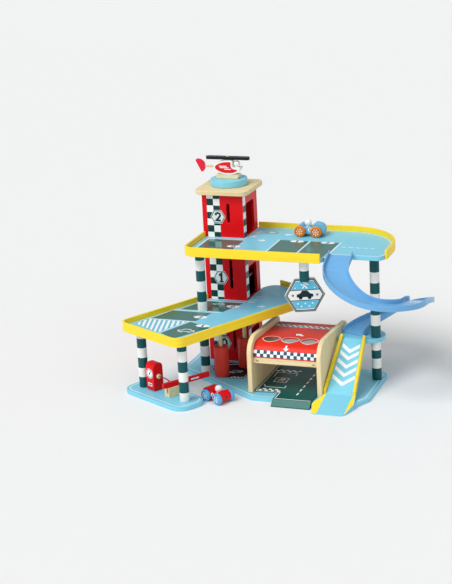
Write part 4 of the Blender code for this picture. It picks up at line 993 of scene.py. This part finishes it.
def doorway_bars(first):
    """Five short bars in a row before a doorway, from where the first one starts."""
    return [patch for step in range(5) for patch in tile(98, first + 11 * step, 113, first + 11 * step + 4)]


fills, lines, ovals, marks = [], [], [], []
for number, ((left, low, right, top), (x, y)) in enumerate(zip(DECK_2_BAYS, DECK_2_OVALS)):
    fills += tile(left, low, right, top)
    lines += stroke([(left - 2.4, low), (left - 2.4, top + 2)], 2.2)
    ovals += poly(ring_points(x, y, OVAL_REACH, 32, 0.5))
    marks += moved(DIGITS[number], x, y, 0, NUMBER_SIZE)
lines += stroke([(305.6, -117), (305.6, 2)], 2.2) + stroke([(18, -16.4), (98, -16.4)], 2.0)
lines += dashes((316, -31), (394, -31), 9, 6.5, 2.6) + doorway_bars(12)
lines += moved(ARROW, 136, -11, 90, 18) + moved(ARROW, 178, 41, 270, 18)
ovals += moved(CAR_SOLID, 137, 51, 0, 27)
marks += moved(CAR_SIGN, 137, 52, 0, 26)
film("deck_2_bays", fills, ON_DECK_2, INK_GREEN, high=0.10)
film("deck_2_lines", lines, ON_DECK_2, INK_WHITE, high=0.14)
film("deck_2_ovals", ovals, ON_DECK_2, INK_WHITE, 0.11, 0.18)
film("deck_2_marks", marks, ON_DECK_2, INK_NAVY, 0.05, 0.22)
print(len(fills), "bays on deck 2")

# %% [markdown]
# ### Hatching
# Slanting stripes that stop at an outline are long bars, each cut along every side of that outline in turn.
# This only works for an outline without dents, which is all that the deck's corner needs. The bars reach
# half a metre each way, which is longer than any board.

# %% Hatching
FAR = 500


def cut(points, corner, inward):
    """A convex outline cut off along a line through the corner, kept on its inward side."""
    kept = []
    for here, after in zip(points, points[1:] + points[:1]):
        a = (Vector(here) - corner).dot(inward)
        b = (Vector(after) - corner).dot(inward)
        if a >= 0:
            kept.append(here)
        if (a > 0 > b) or (a < 0 < b):
            kept.append(tuple(Vector(here).lerp(Vector(after), a / (a - b))))
    return kept


def hatched(outline, turned, pitch, width):
    """Slanting stripes inside a convex outline that runs anticlockwise."""
    way = Vector((math.cos(math.radians(turned)), math.sin(math.radians(turned))))
    side = Vector((-way.y, way.x))
    reach = [Vector(point).dot(side) for point in outline]
    patches, here = [], min(reach) - pitch / 2
    while here < max(reach):
        ends = ((-FAR, here), (FAR, here), (FAR, here + width), (-FAR, here + width))
        stripe = [tuple(way * along + side * across) for along, across in ends]
        for corner, after in zip(outline, outline[1:] + outline[:1]):
            edge = Vector(after) - Vector(corner)
            stripe = cut(stripe, Vector(corner), Vector((-edge.y, edge.x)))
        if len(stripe) > 2:
            patches += poly(stripe)
        here += pitch
    return patches


print("hatching ready")

# %% [markdown]
# ### Deck 1
# The turned deck has three bays in a row on its left side, a hatched corner at its tip and a light lane on
# its right. The bays slant a little, so they are listed corner by corner.

# %% Deck 1 prints
ON_DECK_1 = level(LEVEL_1)
DECK_1_BAYS = [
    [(-9, -240), (29, -269), (79, -190), (25, -161)],
    [(-66, -154), (33, -155), (47, -97), (-41, -96)],
    [(-28, -84), (68, -84), (90, -19), (3, -19)],
]
DECK_1_LINES = [
    [(-15, -240), (22, -157.6)], [(-70, -157.6), (36, -157.6)],
    [(-40, -90), (66, -90)], [(6, -16.4), (90, -16.4)],
]
DECK_1_OVALS = [(1, 59, -180), (2, 34, -127), (0, 76, -45)]
fills = [patch for corners in DECK_1_BAYS for patch in poly(corners)]
lines = [patch for path in DECK_1_LINES for patch in stroke(path, 2.2)]
ovals, marks = [], []
for number, x, y in DECK_1_OVALS:
    ovals += poly(ring_points(x, y, OVAL_REACH, 32, 0.55))
    marks += moved(DIGITS[number], x, y, 0, NUMBER_SIZE)
lines += moved(CAR_SIGN, 37, -216, 2, 34) + moved(CAR_SIGN, 40, -34, 0, 24)
lines += doorway_bars(-12) + moved(ARROW, 136, -33, 90, 18)
hatch = [(-85, -193), (-18, -238), (17, -161), (-70, -161)]
film("deck_1_hatch_ground", poly(hatch), ON_DECK_1, INK_SKY, high=0.08)
film("deck_1_hatch", hatched(hatch, 104, 10.2, 5.4), ON_DECK_1, INK_WHITE, 0.09, 0.14)
film("deck_1_bays", fills, ON_DECK_1, INK_GREEN, high=0.10)
film("deck_1_lines", lines, ON_DECK_1, INK_WHITE, 0.05, 0.16)
film("deck_1_end_sign", moved(CAR_SIGN, 134, 50, 0, 28), ON_DECK_1, INK_GREY)
film("deck_1_ovals", ovals, ON_DECK_1, INK_WHITE, 0.11, 0.18)
film("deck_1_marks", marks, ON_DECK_1, INK_NAVY, 0.12, 0.22)
print(len(fills), "bays on deck 1")

# %% [markdown]
# ### Ground road and wash pad
# The road into the workshop is a thin dark board. Its white edge line, the bay's brackets and chequers, the
# tool sign and the dashed lane are printed on it. The pad between the two rollers is printed on the base
# itself.

# %% Road and pad prints
road_lines = stroke([(165.5, 4), (165.5, -171), (218, -171), (218, -204.5), (294, -204.5)], 1.8)
road_lines += stroke([(175, -84), (174, -57), (219, -57), (220, -71)], 1.8)
road_lines += stroke([(171, -131), (176, -144), (219, -144), (218, -131)], 1.8)
road_lines += stroke([(184, -113), (184, -88), (211, -88), (211, -113)], 1.8, True)
road_lines += moved(CROSSED_TOOLS, 197.5, -100.5, 0, 20)
road_lines += chequer(169, -51, 223, -39, 8, 2) + chequer(169, -168, 216, -154, 7, 2)
road_lines += dashes((256, -30), (256, -192), 13, 9.5, 3.2)
film("road_lines", road_lines, level(ROAD), INK_WHITE, high=0.13)
pad = [(16, -40), (44, -8), (100, -14), (119, -42), (112, -104), (70, -106), (46, -84)]
pad_marks = stroke(inset([Vector(point) for point in pad], 3.0), 1.4, True)
pad_marks += moved(CAR_SIGN, 83, -64, 28, 26) + chequer(84, -101, 108, -93, 6, 2)
pad_marks += stroke([(42, -34), (60, -22), (78, -20)], 2.4)
film("wash_pad", poly(pad), level(GROUND), INK_PAD, high=0.10)
film("wash_pad_marks", pad_marks, level(GROUND), INK_WHITE, 0.11, 0.16)
film("road_lip", tile(214.9, -221.3, 295.8, -206.6), from_above("road_board"), INK_LIP)
print(len(road_lines), "patches on the road,", len(pad_marks), "on the pad")

# %% [markdown]
# ### Tower front and side
# A chequered band two squares wide climbs the front panel, and three six-sided labels with the floor's
# number lie over it. A single column of squares wraps round the corner onto the side with the doorways.

# %% Tower prints
FRONT, SIDE = upright(at(0, 0), RIGHT, -BACK), upright(at(92, 0), BACK, RIGHT)
SQUARE, ROWS = 14.5, 25
BAND_TOP, PANEL_TOP = 371, 380.5
BAND_LOW = BAND_TOP - SQUARE * ROWS
FRONT_LEFT, FRONT_MIDDLE, FRONT_RIGHT = 11, 11 + SQUARE, 11 + 2 * SQUARE
SIDE_LEFT, SIDE_RIGHT = 1.0, 17
dark_front = chequer(FRONT_LEFT, BAND_LOW, FRONT_RIGHT, BAND_TOP, 2, ROWS)
dark_front += tile(FRONT_MIDDLE, BAND_TOP, FRONT_RIGHT, PANEL_TOP)
dark_side = chequer(SIDE_LEFT, BAND_LOW, SIDE_RIGHT, BAND_TOP, 1, ROWS, 1)
film("tower_band_white", tile(FRONT_LEFT, BAND_LOW, FRONT_RIGHT, PANEL_TOP), FRONT, INK_WHITE, high=0.10)
film("tower_band_dark", dark_front, FRONT, INK_TEAL, 0.11, 0.15)
film("tower_side_white", tile(SIDE_LEFT, BAND_LOW, SIDE_RIGHT, PANEL_TOP), SIDE, INK_WHITE, high=0.10)
film("tower_side_dark", dark_side, SIDE, INK_TEAL, 0.11, 0.15)
LABEL_X, LABEL_HEIGHTS = 35, (49, 197, 332)
labels, rims, numbers = [], [], []
for number, height in enumerate(LABEL_HEIGHTS):
    labels += poly(ring_points(LABEL_X, height, 17, 6))
    rims += stroke(ring_points(LABEL_X, height, 15, 6), 1.5, True)
    numbers += moved(DIGITS[number], LABEL_X, height, 0, 21)
film("tower_labels", labels, FRONT, INK_GREY, 0.16, 0.24)
film("tower_label_rims", rims, FRONT, INK_TEAL, 0.25, 0.29)
film("tower_label_numbers", numbers, FRONT, INK_TEAL, 0.25, 0.29)
print(ROWS, "rows of squares,", len(labels), "labels")

# %% [markdown]
# ### Workshop roof
# The roof is one bent sheet, so its prints are cast onto it: the chequer band from the front, the rims of
# the three round holes from above, and the arrows at a slant where the sheet turns over.

# %% Roof prints
ROOF_MIDDLE, HOLE_STEP = 230.5, 41
BAND_BOX = (162, 85.8, 299, 98.7)
ON_ROOF = from_above("workshop_roof")
roof_front = onto("workshop_roof", at(0, -200), RIGHT, UP, BACK)
roof_slant = onto("workshop_roof", at(0, -152, 100), RIGHT, Vector((0, 0.7071, 0.7071)), Vector((0, 1, -1)))
film("roof_band_white", tile(*BAND_BOX, 19, 6), roof_front, INK_WHITE, high=0.10)
film("roof_band_dark", chequer(*BAND_BOX, 19, 2, 0, 3), roof_front, INK_BAND, 0.11, 0.17)
rims = []
for x in (ROOF_MIDDLE - HOLE_STEP, ROOF_MIDDLE, ROOF_MIDDLE + HOLE_STEP):
    rims += stroke(ring_points(x, -128, 18.0, 64), 1.3, True)
film("roof_hole_rims", rims, ON_ROOF, INK_WHITE, high=0.14)
arrow = tile(-1.8, 0, 1.8, 7, 2, 4)
arrow += [([(-6, 0), (-3, 0), (0, 0), (3, 0), (6, 0), (-3, -3.2), (0, -3.2), (3, -3.2), (0, -6.4)],
           [(0, 5, 1), (1, 5, 6, 2), (2, 6, 7, 3), (3, 7, 4), (5, 8, 6), (6, 8, 7)])]
film("roof_arrow_down", moved(arrow, ROOF_MIDDLE, -2), roof_slant, INK_WHITE, high=0.16)
film("roof_arrow_back", moved(ARROW, 237, -88, 240, 22), ON_ROOF, INK_WHITE, high=0.14)
film("roof_back_white", tile(164, -31.5, 297, -16.5), ON_ROOF, INK_WHITE, high=0.10)
film("roof_back_dark", chequer(164, -30, 297, -18, 22, 2), ON_ROOF, INK_NAVY, 0.11, 0.15)
print("roof printed")

# %% [markdown]
# ### Ramp and its flared foot
# Five white chevrons point down the ramp, each a little wider than the one above it. On the foot, two
# yellow flares carry the line of the rails on to the floor. Both are cast from above onto their sloping
# boards.

# %% Ramp chevrons and flares
RAMP_MIDDLE = 344.5
CHEVRON_TIPS = (-91, -105, -121, -137, -154)
CHEVRON_THICK = 7.0
FLARE_LEFT, FLARE_RIGHT = 316.4, 372.6
chevrons = []
for index, tip in enumerate(CHEVRON_TIPS):
    half = 18.5 + 1.2 * index
    shoulder = tip + half * 0.62
    left, right = RAMP_MIDDLE - half, RAMP_MIDDLE + half
    chevrons += poly([
        (RAMP_MIDDLE, tip), (right, shoulder), (right, shoulder + CHEVRON_THICK),
        (RAMP_MIDDLE, tip + CHEVRON_THICK), (left, shoulder + CHEVRON_THICK), (left, shoulder),
    ])
film("ramp_chevrons", chevrons, from_above("ramp_board"), INK_WHITE, high=0.14)
foot_line = [tuple(spot) for spot in inset(plan_outline("ramp_tongue", Vector((0, -0.23, 0.973))), 0.7)]
flares = poly(cut(foot_line, Vector((FLARE_LEFT, 0)), Vector((-1, 0))))
flares += poly(cut(foot_line, Vector((FLARE_RIGHT, 0)), Vector((1, 0))))
film("tongue_flares", flares, from_above("ramp_tongue"), INK_YELLOW, high=0.14)
print(len(chevrons), "chevrons and two flares")

# %% [markdown]
# ## Slide and sign post
# The slide keeps its moulded shape and gets a soft rim. The post is white above and dark below, so its mesh
# is cut in two at the colour line, half way up.

# %% Slide and sign post
dressed("slide", PLASTIC, 0.25)
work = welded("sign_post")
middle, _ = middle_of("sign_post")
bmesh.ops.bisect_plane(work, geom=work.verts[:] + work.edges[:] + work.faces[:], plane_co=middle, plane_no=UP)
for face in work.faces:
    face.material_index = int(face.calc_center_median().z < middle.z)
finished(mesh_of(work, "sign_post_two_colours", [WHITE, TEAL]), body_of["sign_post"], "sign_post")
print("slide and sign post")

# %% [markdown]
# ## The hose's knot
# The hose's loose end is tied: a trefoil curve with the hose's own thickness reads as a small pulled knot,
# and lies on the island.

# %% Hose knot
KNOT_SIZE, KNOT_STEPS = 0.0015, 48
knot_at = hose_path[-1] + PUMP_Y * 0.003 + UP * 0.0006
knot_path = []
for step in range(KNOT_STEPS):
    t = 2 * math.pi * step / KNOT_STEPS
    x, y, z = (math.sin(t) + 2 * math.sin(2 * t), math.cos(t) - 2 * math.cos(2 * t), -math.sin(3 * t))
    knot_path.append(knot_at + (PUMP_X * x + PUMP_Y * y + UP * z * 0.75) * KNOT_SIZE)
knot = hose_through("fuel_hose_knot", knot_path, closed=True)
print("knot with", KNOT_STEPS, "points")

# %% [markdown]
# ### Helicopter panel
# A red panel follows the outline of the white body on both of its sides. The body is one board on edge, so
# its own side gives the outline, moved inward by a few millimetres. Three white bars stand for its
# lettering.

# %% Helicopter panel
hull = face_outline("helicopter_body", -BACK)
hull_front = min(point.y for point in hull)
hull_back = max(point.y for point in face_outline("helicopter_body", BACK))
panel = inset([Vector((point.x, point.z)) * 1000 for point in hull], 3.2)
panel_left = min(spot.x for spot in panel)
panel_width = max(spot.x for spot in panel) - panel_left
panel_middle = sum((spot.y for spot in panel), 0.0) / len(panel)
bars = []
for start, end, rise in ((0.18, 0.52, 3.4), (0.22, 0.60, 0.2), (0.42, 0.70, -3.0)):
    low = panel_middle + rise - 0.8
    bars += tile(panel_left + start * panel_width, low, panel_left + end * panel_width, low + 1.6)
for kind, patches, material, low, high in (
    ("panel", poly(panel), INK_RED, 0.03, 0.14), ("bars", bars, INK_WHITE, 0.15, 0.2),
):
    for label, y, out in (("front", hull_front, -BACK), ("back", hull_back, BACK)):
        place = upright(Vector((0, y, 0)), RIGHT, out)
        film(f"helicopter_{kind}_{label}", patches, place, material, low, high, "helicopter")
print("helicopter panel from", len(hull), "outline points")

# %% [markdown]
# ### Pump dial and barrier stripe
# The pump's face carries a round dial with ticks and a needle and a small window under it. The barrier arm
# has one white stripe along each side.

# %% Pump dial and barrier stripe
DIAL = Vector((0, 37.5))
PUMP_FACE = upright(PUMP_AT - PUMP_Y * 0.013, PUMP_X, -PUMP_Y)
ticks = stroke(ring_points(*DIAL, 9.6, 40), 1.0, True)
for step in range(12):
    way = Vector((math.cos(2 * math.pi * step / 12), math.sin(2 * math.pi * step / 12)))
    ticks += stroke([DIAL + way * 6.2, DIAL + way * 8.4], 0.9)
ticks += stroke([DIAL + Vector((-1.6, -3)), DIAL + Vector((3.6, 6))], 1.3) + poly(ring_points(*DIAL, 1.9, 16))
window_bars = tile(-5, 11.6, -2, 15.4) + tile(-1, 11.6, 2, 15.4) + tile(3, 11.6, 5, 15.4)
film("pump_dial", poly(ring_points(*DIAL, 10.8, 40)), PUMP_FACE, INK_WHITE)
film("pump_dial_marks", ticks, PUMP_FACE, INK_NAVY, 0.13, 0.18)
film("pump_window", tile(-6.5, 10, 6.5, 17), PUMP_FACE, INK_WHITE)
film("pump_window_bars", window_bars, PUMP_FACE, INK_NAVY, 0.13, 0.18)
BARRIER_AT = at(0, -230.4, 9.3)
BARRIER_X, BARRIER_Y = Vector((0.809, -0.588, 0)), Vector((0.588, 0.809, 0))
for label, side in (("near", -1), ("far", 1)):
    place = upright(BARRIER_AT + BARRIER_X * (2.5 + 3 * side) / 1000, BARRIER_Y, BARRIER_X * side)
    film("barrier_stripe_" + label, tile(47, 24.2, 67, 27.4), place, INK_WHITE, high=0.14,
         body=body_of["barrier_arm"])
print("dial and stripes")

# %% [markdown]
# ### Sign board
# The six-sided sign has dark lines round its edge, light blue fields above and below, and a white band
# across the middle. It carries plain pictograms: a car on the band, crossed tools above it, stars below.
# Both faces are printed alike.

# %% Sign prints
SIGN_AT, SIGN_HALF = at(256, -100, 203), 0.0025
SIGN_TURN = math.radians(22)
sign_across = Vector((math.cos(SIGN_TURN), math.sin(SIGN_TURN), 0))
sign_out = Vector((math.sin(SIGN_TURN), -math.cos(SIGN_TURN), 0))
fields = poly([(-29.0, 11), (29.0, 11), (18.4, 29.4), (-18.4, 29.4)])
fields += poly([(-18.4, -29.4), (18.4, -29.4), (29.0, -11), (-29.0, -11)])
lines = stroke(ring_points(0, 0, 37.2, 6), 2.0, True) + stroke([(-31, 11), (31, 11)], 1.4)
lines += stroke([(-31, -11), (31, -11)], 1.4) + moved(CAR_SOLID, 0, 0.5, 0, 34)
for x in (-25, 25):
    lines += moved(STAR, x, 0, 0, 7)
tools = moved(CROSSED_TOOLS, 0, 20, 0, 17)
for x in (-20, 20):
    tools += moved(STAR, x, 15.5, 0, 4)
for x, y in ((-15, -18), (0, -18), (15, -18), (-8, -24), (8, -24)):
    tools += moved(STAR, x, y, 0, 5)
rim = stroke(ring_points(0, 0, 40.0, 6), 1.5, True)
for label, side in (("front", 1), ("back", -1)):
    place = upright(SIGN_AT + sign_out * side * SIGN_HALF, sign_across * side, sign_out * side)
    for kind, patches, material, low, high in (
        ("fields", fields, INK_SKY, 0.03, 0.12), ("lines", lines, INK_NAVY, 0.13, 0.18),
        ("tools", tools, INK_WHITE, 0.13, 0.18), ("rim", rim, INK_TEAL, 0.03, 0.12),
    ):
        film(f"sign_{kind}_{label}", patches, place, material, low, high, body_of["sign_board"])
print("sign printed on both faces")

# %% [markdown]
# ### Car numbers
# Each car has a white disc with a number on both sides, between the wheels. The disc stands on the side of
# the body, 12 mm from the car's middle line.

# %% Car numbers
CAR_HALF, DISC_HEIGHT = 0.012, 9.0
SIDES = (("right", 1), ("left", -1))
for (car, (heading, _)), number in zip(CARS.items(), (1, 2)):
    name = car + "_body"
    ahead, to_right = car_ways(heading)
    middle, _ = middle_of(name)
    foot = Vector((middle.x, middle.y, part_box(name)[0][2]))
    for label, side in SIDES:
        place = upright(foot + to_right * side * CAR_HALF, ahead * side, to_right * side)
        disc, digit = poly(ring_points(0, DISC_HEIGHT, 4.6, 28)), moved(DIGITS[number], 0, DISC_HEIGHT, 0, 6)
        film(f"{car}_disc_{label}", disc, place, INK_WHITE, body=body_of[name])
        film(f"{car}_number_{label}", digit, place, INK_NAVY, 0.13, 0.18, body_of[name])
print("four numbered discs")

# %% [markdown]
# ### Spokes and rear hole
# The wheels have white printed spokes, which show how far a wheel has turned. The red car has a small hole
# in its back, which is not cut: a dark disc on the back is painted shade standing for the hole.

# %% Spokes and rear hole
SPOKES = 7
spokes = []
for step in range(SPOKES):
    turned = 2 * math.pi * (step + 0.3) / SPOKES
    spoke = Vector((math.cos(turned), math.sin(turned)))
    spokes += stroke([spoke * 4.4, spoke * 7.4], 1.5)
for car, (heading, _) in CARS.items():
    ahead, to_right = car_ways(heading)
    for name in (f"{car}_front_wheels", f"{car}_rear_wheels"):
        middle, _ = middle_of(name)
        for label, side in SIDES:
            place = upright(middle + to_right * side * WHEEL_REACH / 1000, ahead * side, to_right * side)
            film(f"{name}_{label}_spokes", spokes, place, INK_WHITE, high=0.1, body=body_of[name])
# The rear hole is a flat dark disc on the car's back: painted shade in place of a cut hole.
HOLE_BACK, HOLE_HEIGHT = 0.03, 14
ahead, to_right = car_ways(CARS["red_car"][0])
middle, _ = middle_of("red_car_body")
rear = upright(Vector((*middle[:2], 0)) - ahead * HOLE_BACK, -to_right, -ahead)
film("red_car_rear_hole_shade", poly(ring_points(0, HOLE_HEIGHT, 1.9, 24)), rear, BLACK, high=0.06,
     body=body_of["red_car_body"])
print("eight wheels with spokes, one hole")

# %% [markdown]
# ### Screws
# Two small plated screws hold the workshop's front beam. A screw head is a low dome, turned as a half
# outline. Its slot is not cut: a thin dark film across it is painted shade standing for the slot.

# %% Screws
SCREW = [(0, 0, 0), (2.6, 0, 0), (2.6, 0.3, 0), (2.2, 0.75, 0), (1.3, 1.05, 0), (0, 1.15, 0)]
SCREW_INSET, SCREW_HEIGHT = 0.009, 0.00115
beam_low, beam_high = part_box("workshop_front_beam")
for number, x in enumerate((beam_low[0] + SCREW_INSET, beam_high[0] - SCREW_INSET), 1):
    spot = Vector((x, beam_low[1] - 0.00002, (beam_low[2] + beam_high[2]) / 2))
    lathe(f"beam_screw_{number}", SCREW, spot, -BACK, [STEEL], 28)
    top = upright(spot - BACK * SCREW_HEIGHT, RIGHT, -BACK)
    # The slot film is painted shade: a dark stroke in place of the shadowed cut of the slot.
    film(f"beam_screw_{number}_slot_shade", stroke([(-1.5, -0.9), (1.5, 0.9)], 0.5), top, INK_NAVY, -0.35, 0.03)
print("two screws")

# %% [markdown]
# ## Floor
# A wide pale floor fills the whole view, since the camera looks down. Far out it curves up into a low wall,
# so that a lower view doesn't end in a grey sky either. It belongs to the stage and not to the toy.

# %% Floor
FLOOR_RINGS = [(17.0, 0), (18.2, 0.09), (19.2, 0.42), (19.8, 1.0), (20.0, 1.8), (20.0, 3.2)]
FLOOR_SIDES = 72
floor_turns = [2 * math.pi * step / FLOOR_SIDES for step in range(FLOOR_SIDES)]
work = bmesh.new()
rings = [
    [work.verts.new((math.cos(turned) * reach, math.sin(turned) * reach, height)) for turned in floor_turns]
    for reach, height in FLOOR_RINGS
]
work.faces.new(rings[0])
for inner, outer in zip(rings, rings[1:]):
    for step in range(FLOOR_SIDES):
        following = (step + 1) % FLOOR_SIDES
        work.faces.new((inner[step], outer[step], outer[following], inner[following]))
pale_floor = painted("pale_floor", (240, 240, 239), 0.7, 0.0, worn=0, tone=0.01, relief=0.0)
floor_mesh = mesh_of(work, "floor", [pale_floor])
floor_mesh.shade_smooth()
floor = in_scene("floor", floor_mesh)
floor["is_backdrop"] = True
print("floor of", len(floor_mesh.polygons), "faces")

# %% [markdown]
# ## Light
# A wide far lamp stands on the camera's left and lights the whole floor evenly, a weaker one fills from the
# right, and the pale world lifts the shadows. The world is kept dimmer than the lamps, because painted
# boards mirror it at a slant and would turn grey.

# %% Light


def soft_light(name, direction, strength, softness):
    """A far, wide lamp, given by the direction that it stands in and how many degrees wide it looks."""
    light = bpy.data.lights.new(name, "SUN")
    light.energy, light.angle = strength, math.radians(softness)
    in_scene(name, light).rotation_euler = Vector(direction).to_track_quat("Z", "Y").to_euler()


soft_light("key_light", (-0.34, -0.55, 0.76), 2.2, 35)
soft_light("fill_light", (0.5, -0.55, 0.67), 0.45, 60)
world = bpy.data.worlds.new("studio")
world.use_nodes = True
background = world.node_tree.nodes["Background"]
fill(world.node_tree, background.inputs, {"Color": (0.95, 0.97, 1.0, 1), "Strength": 0.42})
bpy.context.scene.world = world
print("two lamps and a pale world")

# %% [markdown]
# ## Finish
# The model's box after dressing is printed.

# %% Finish
low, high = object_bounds()
print("visual box", low[:], high[:])
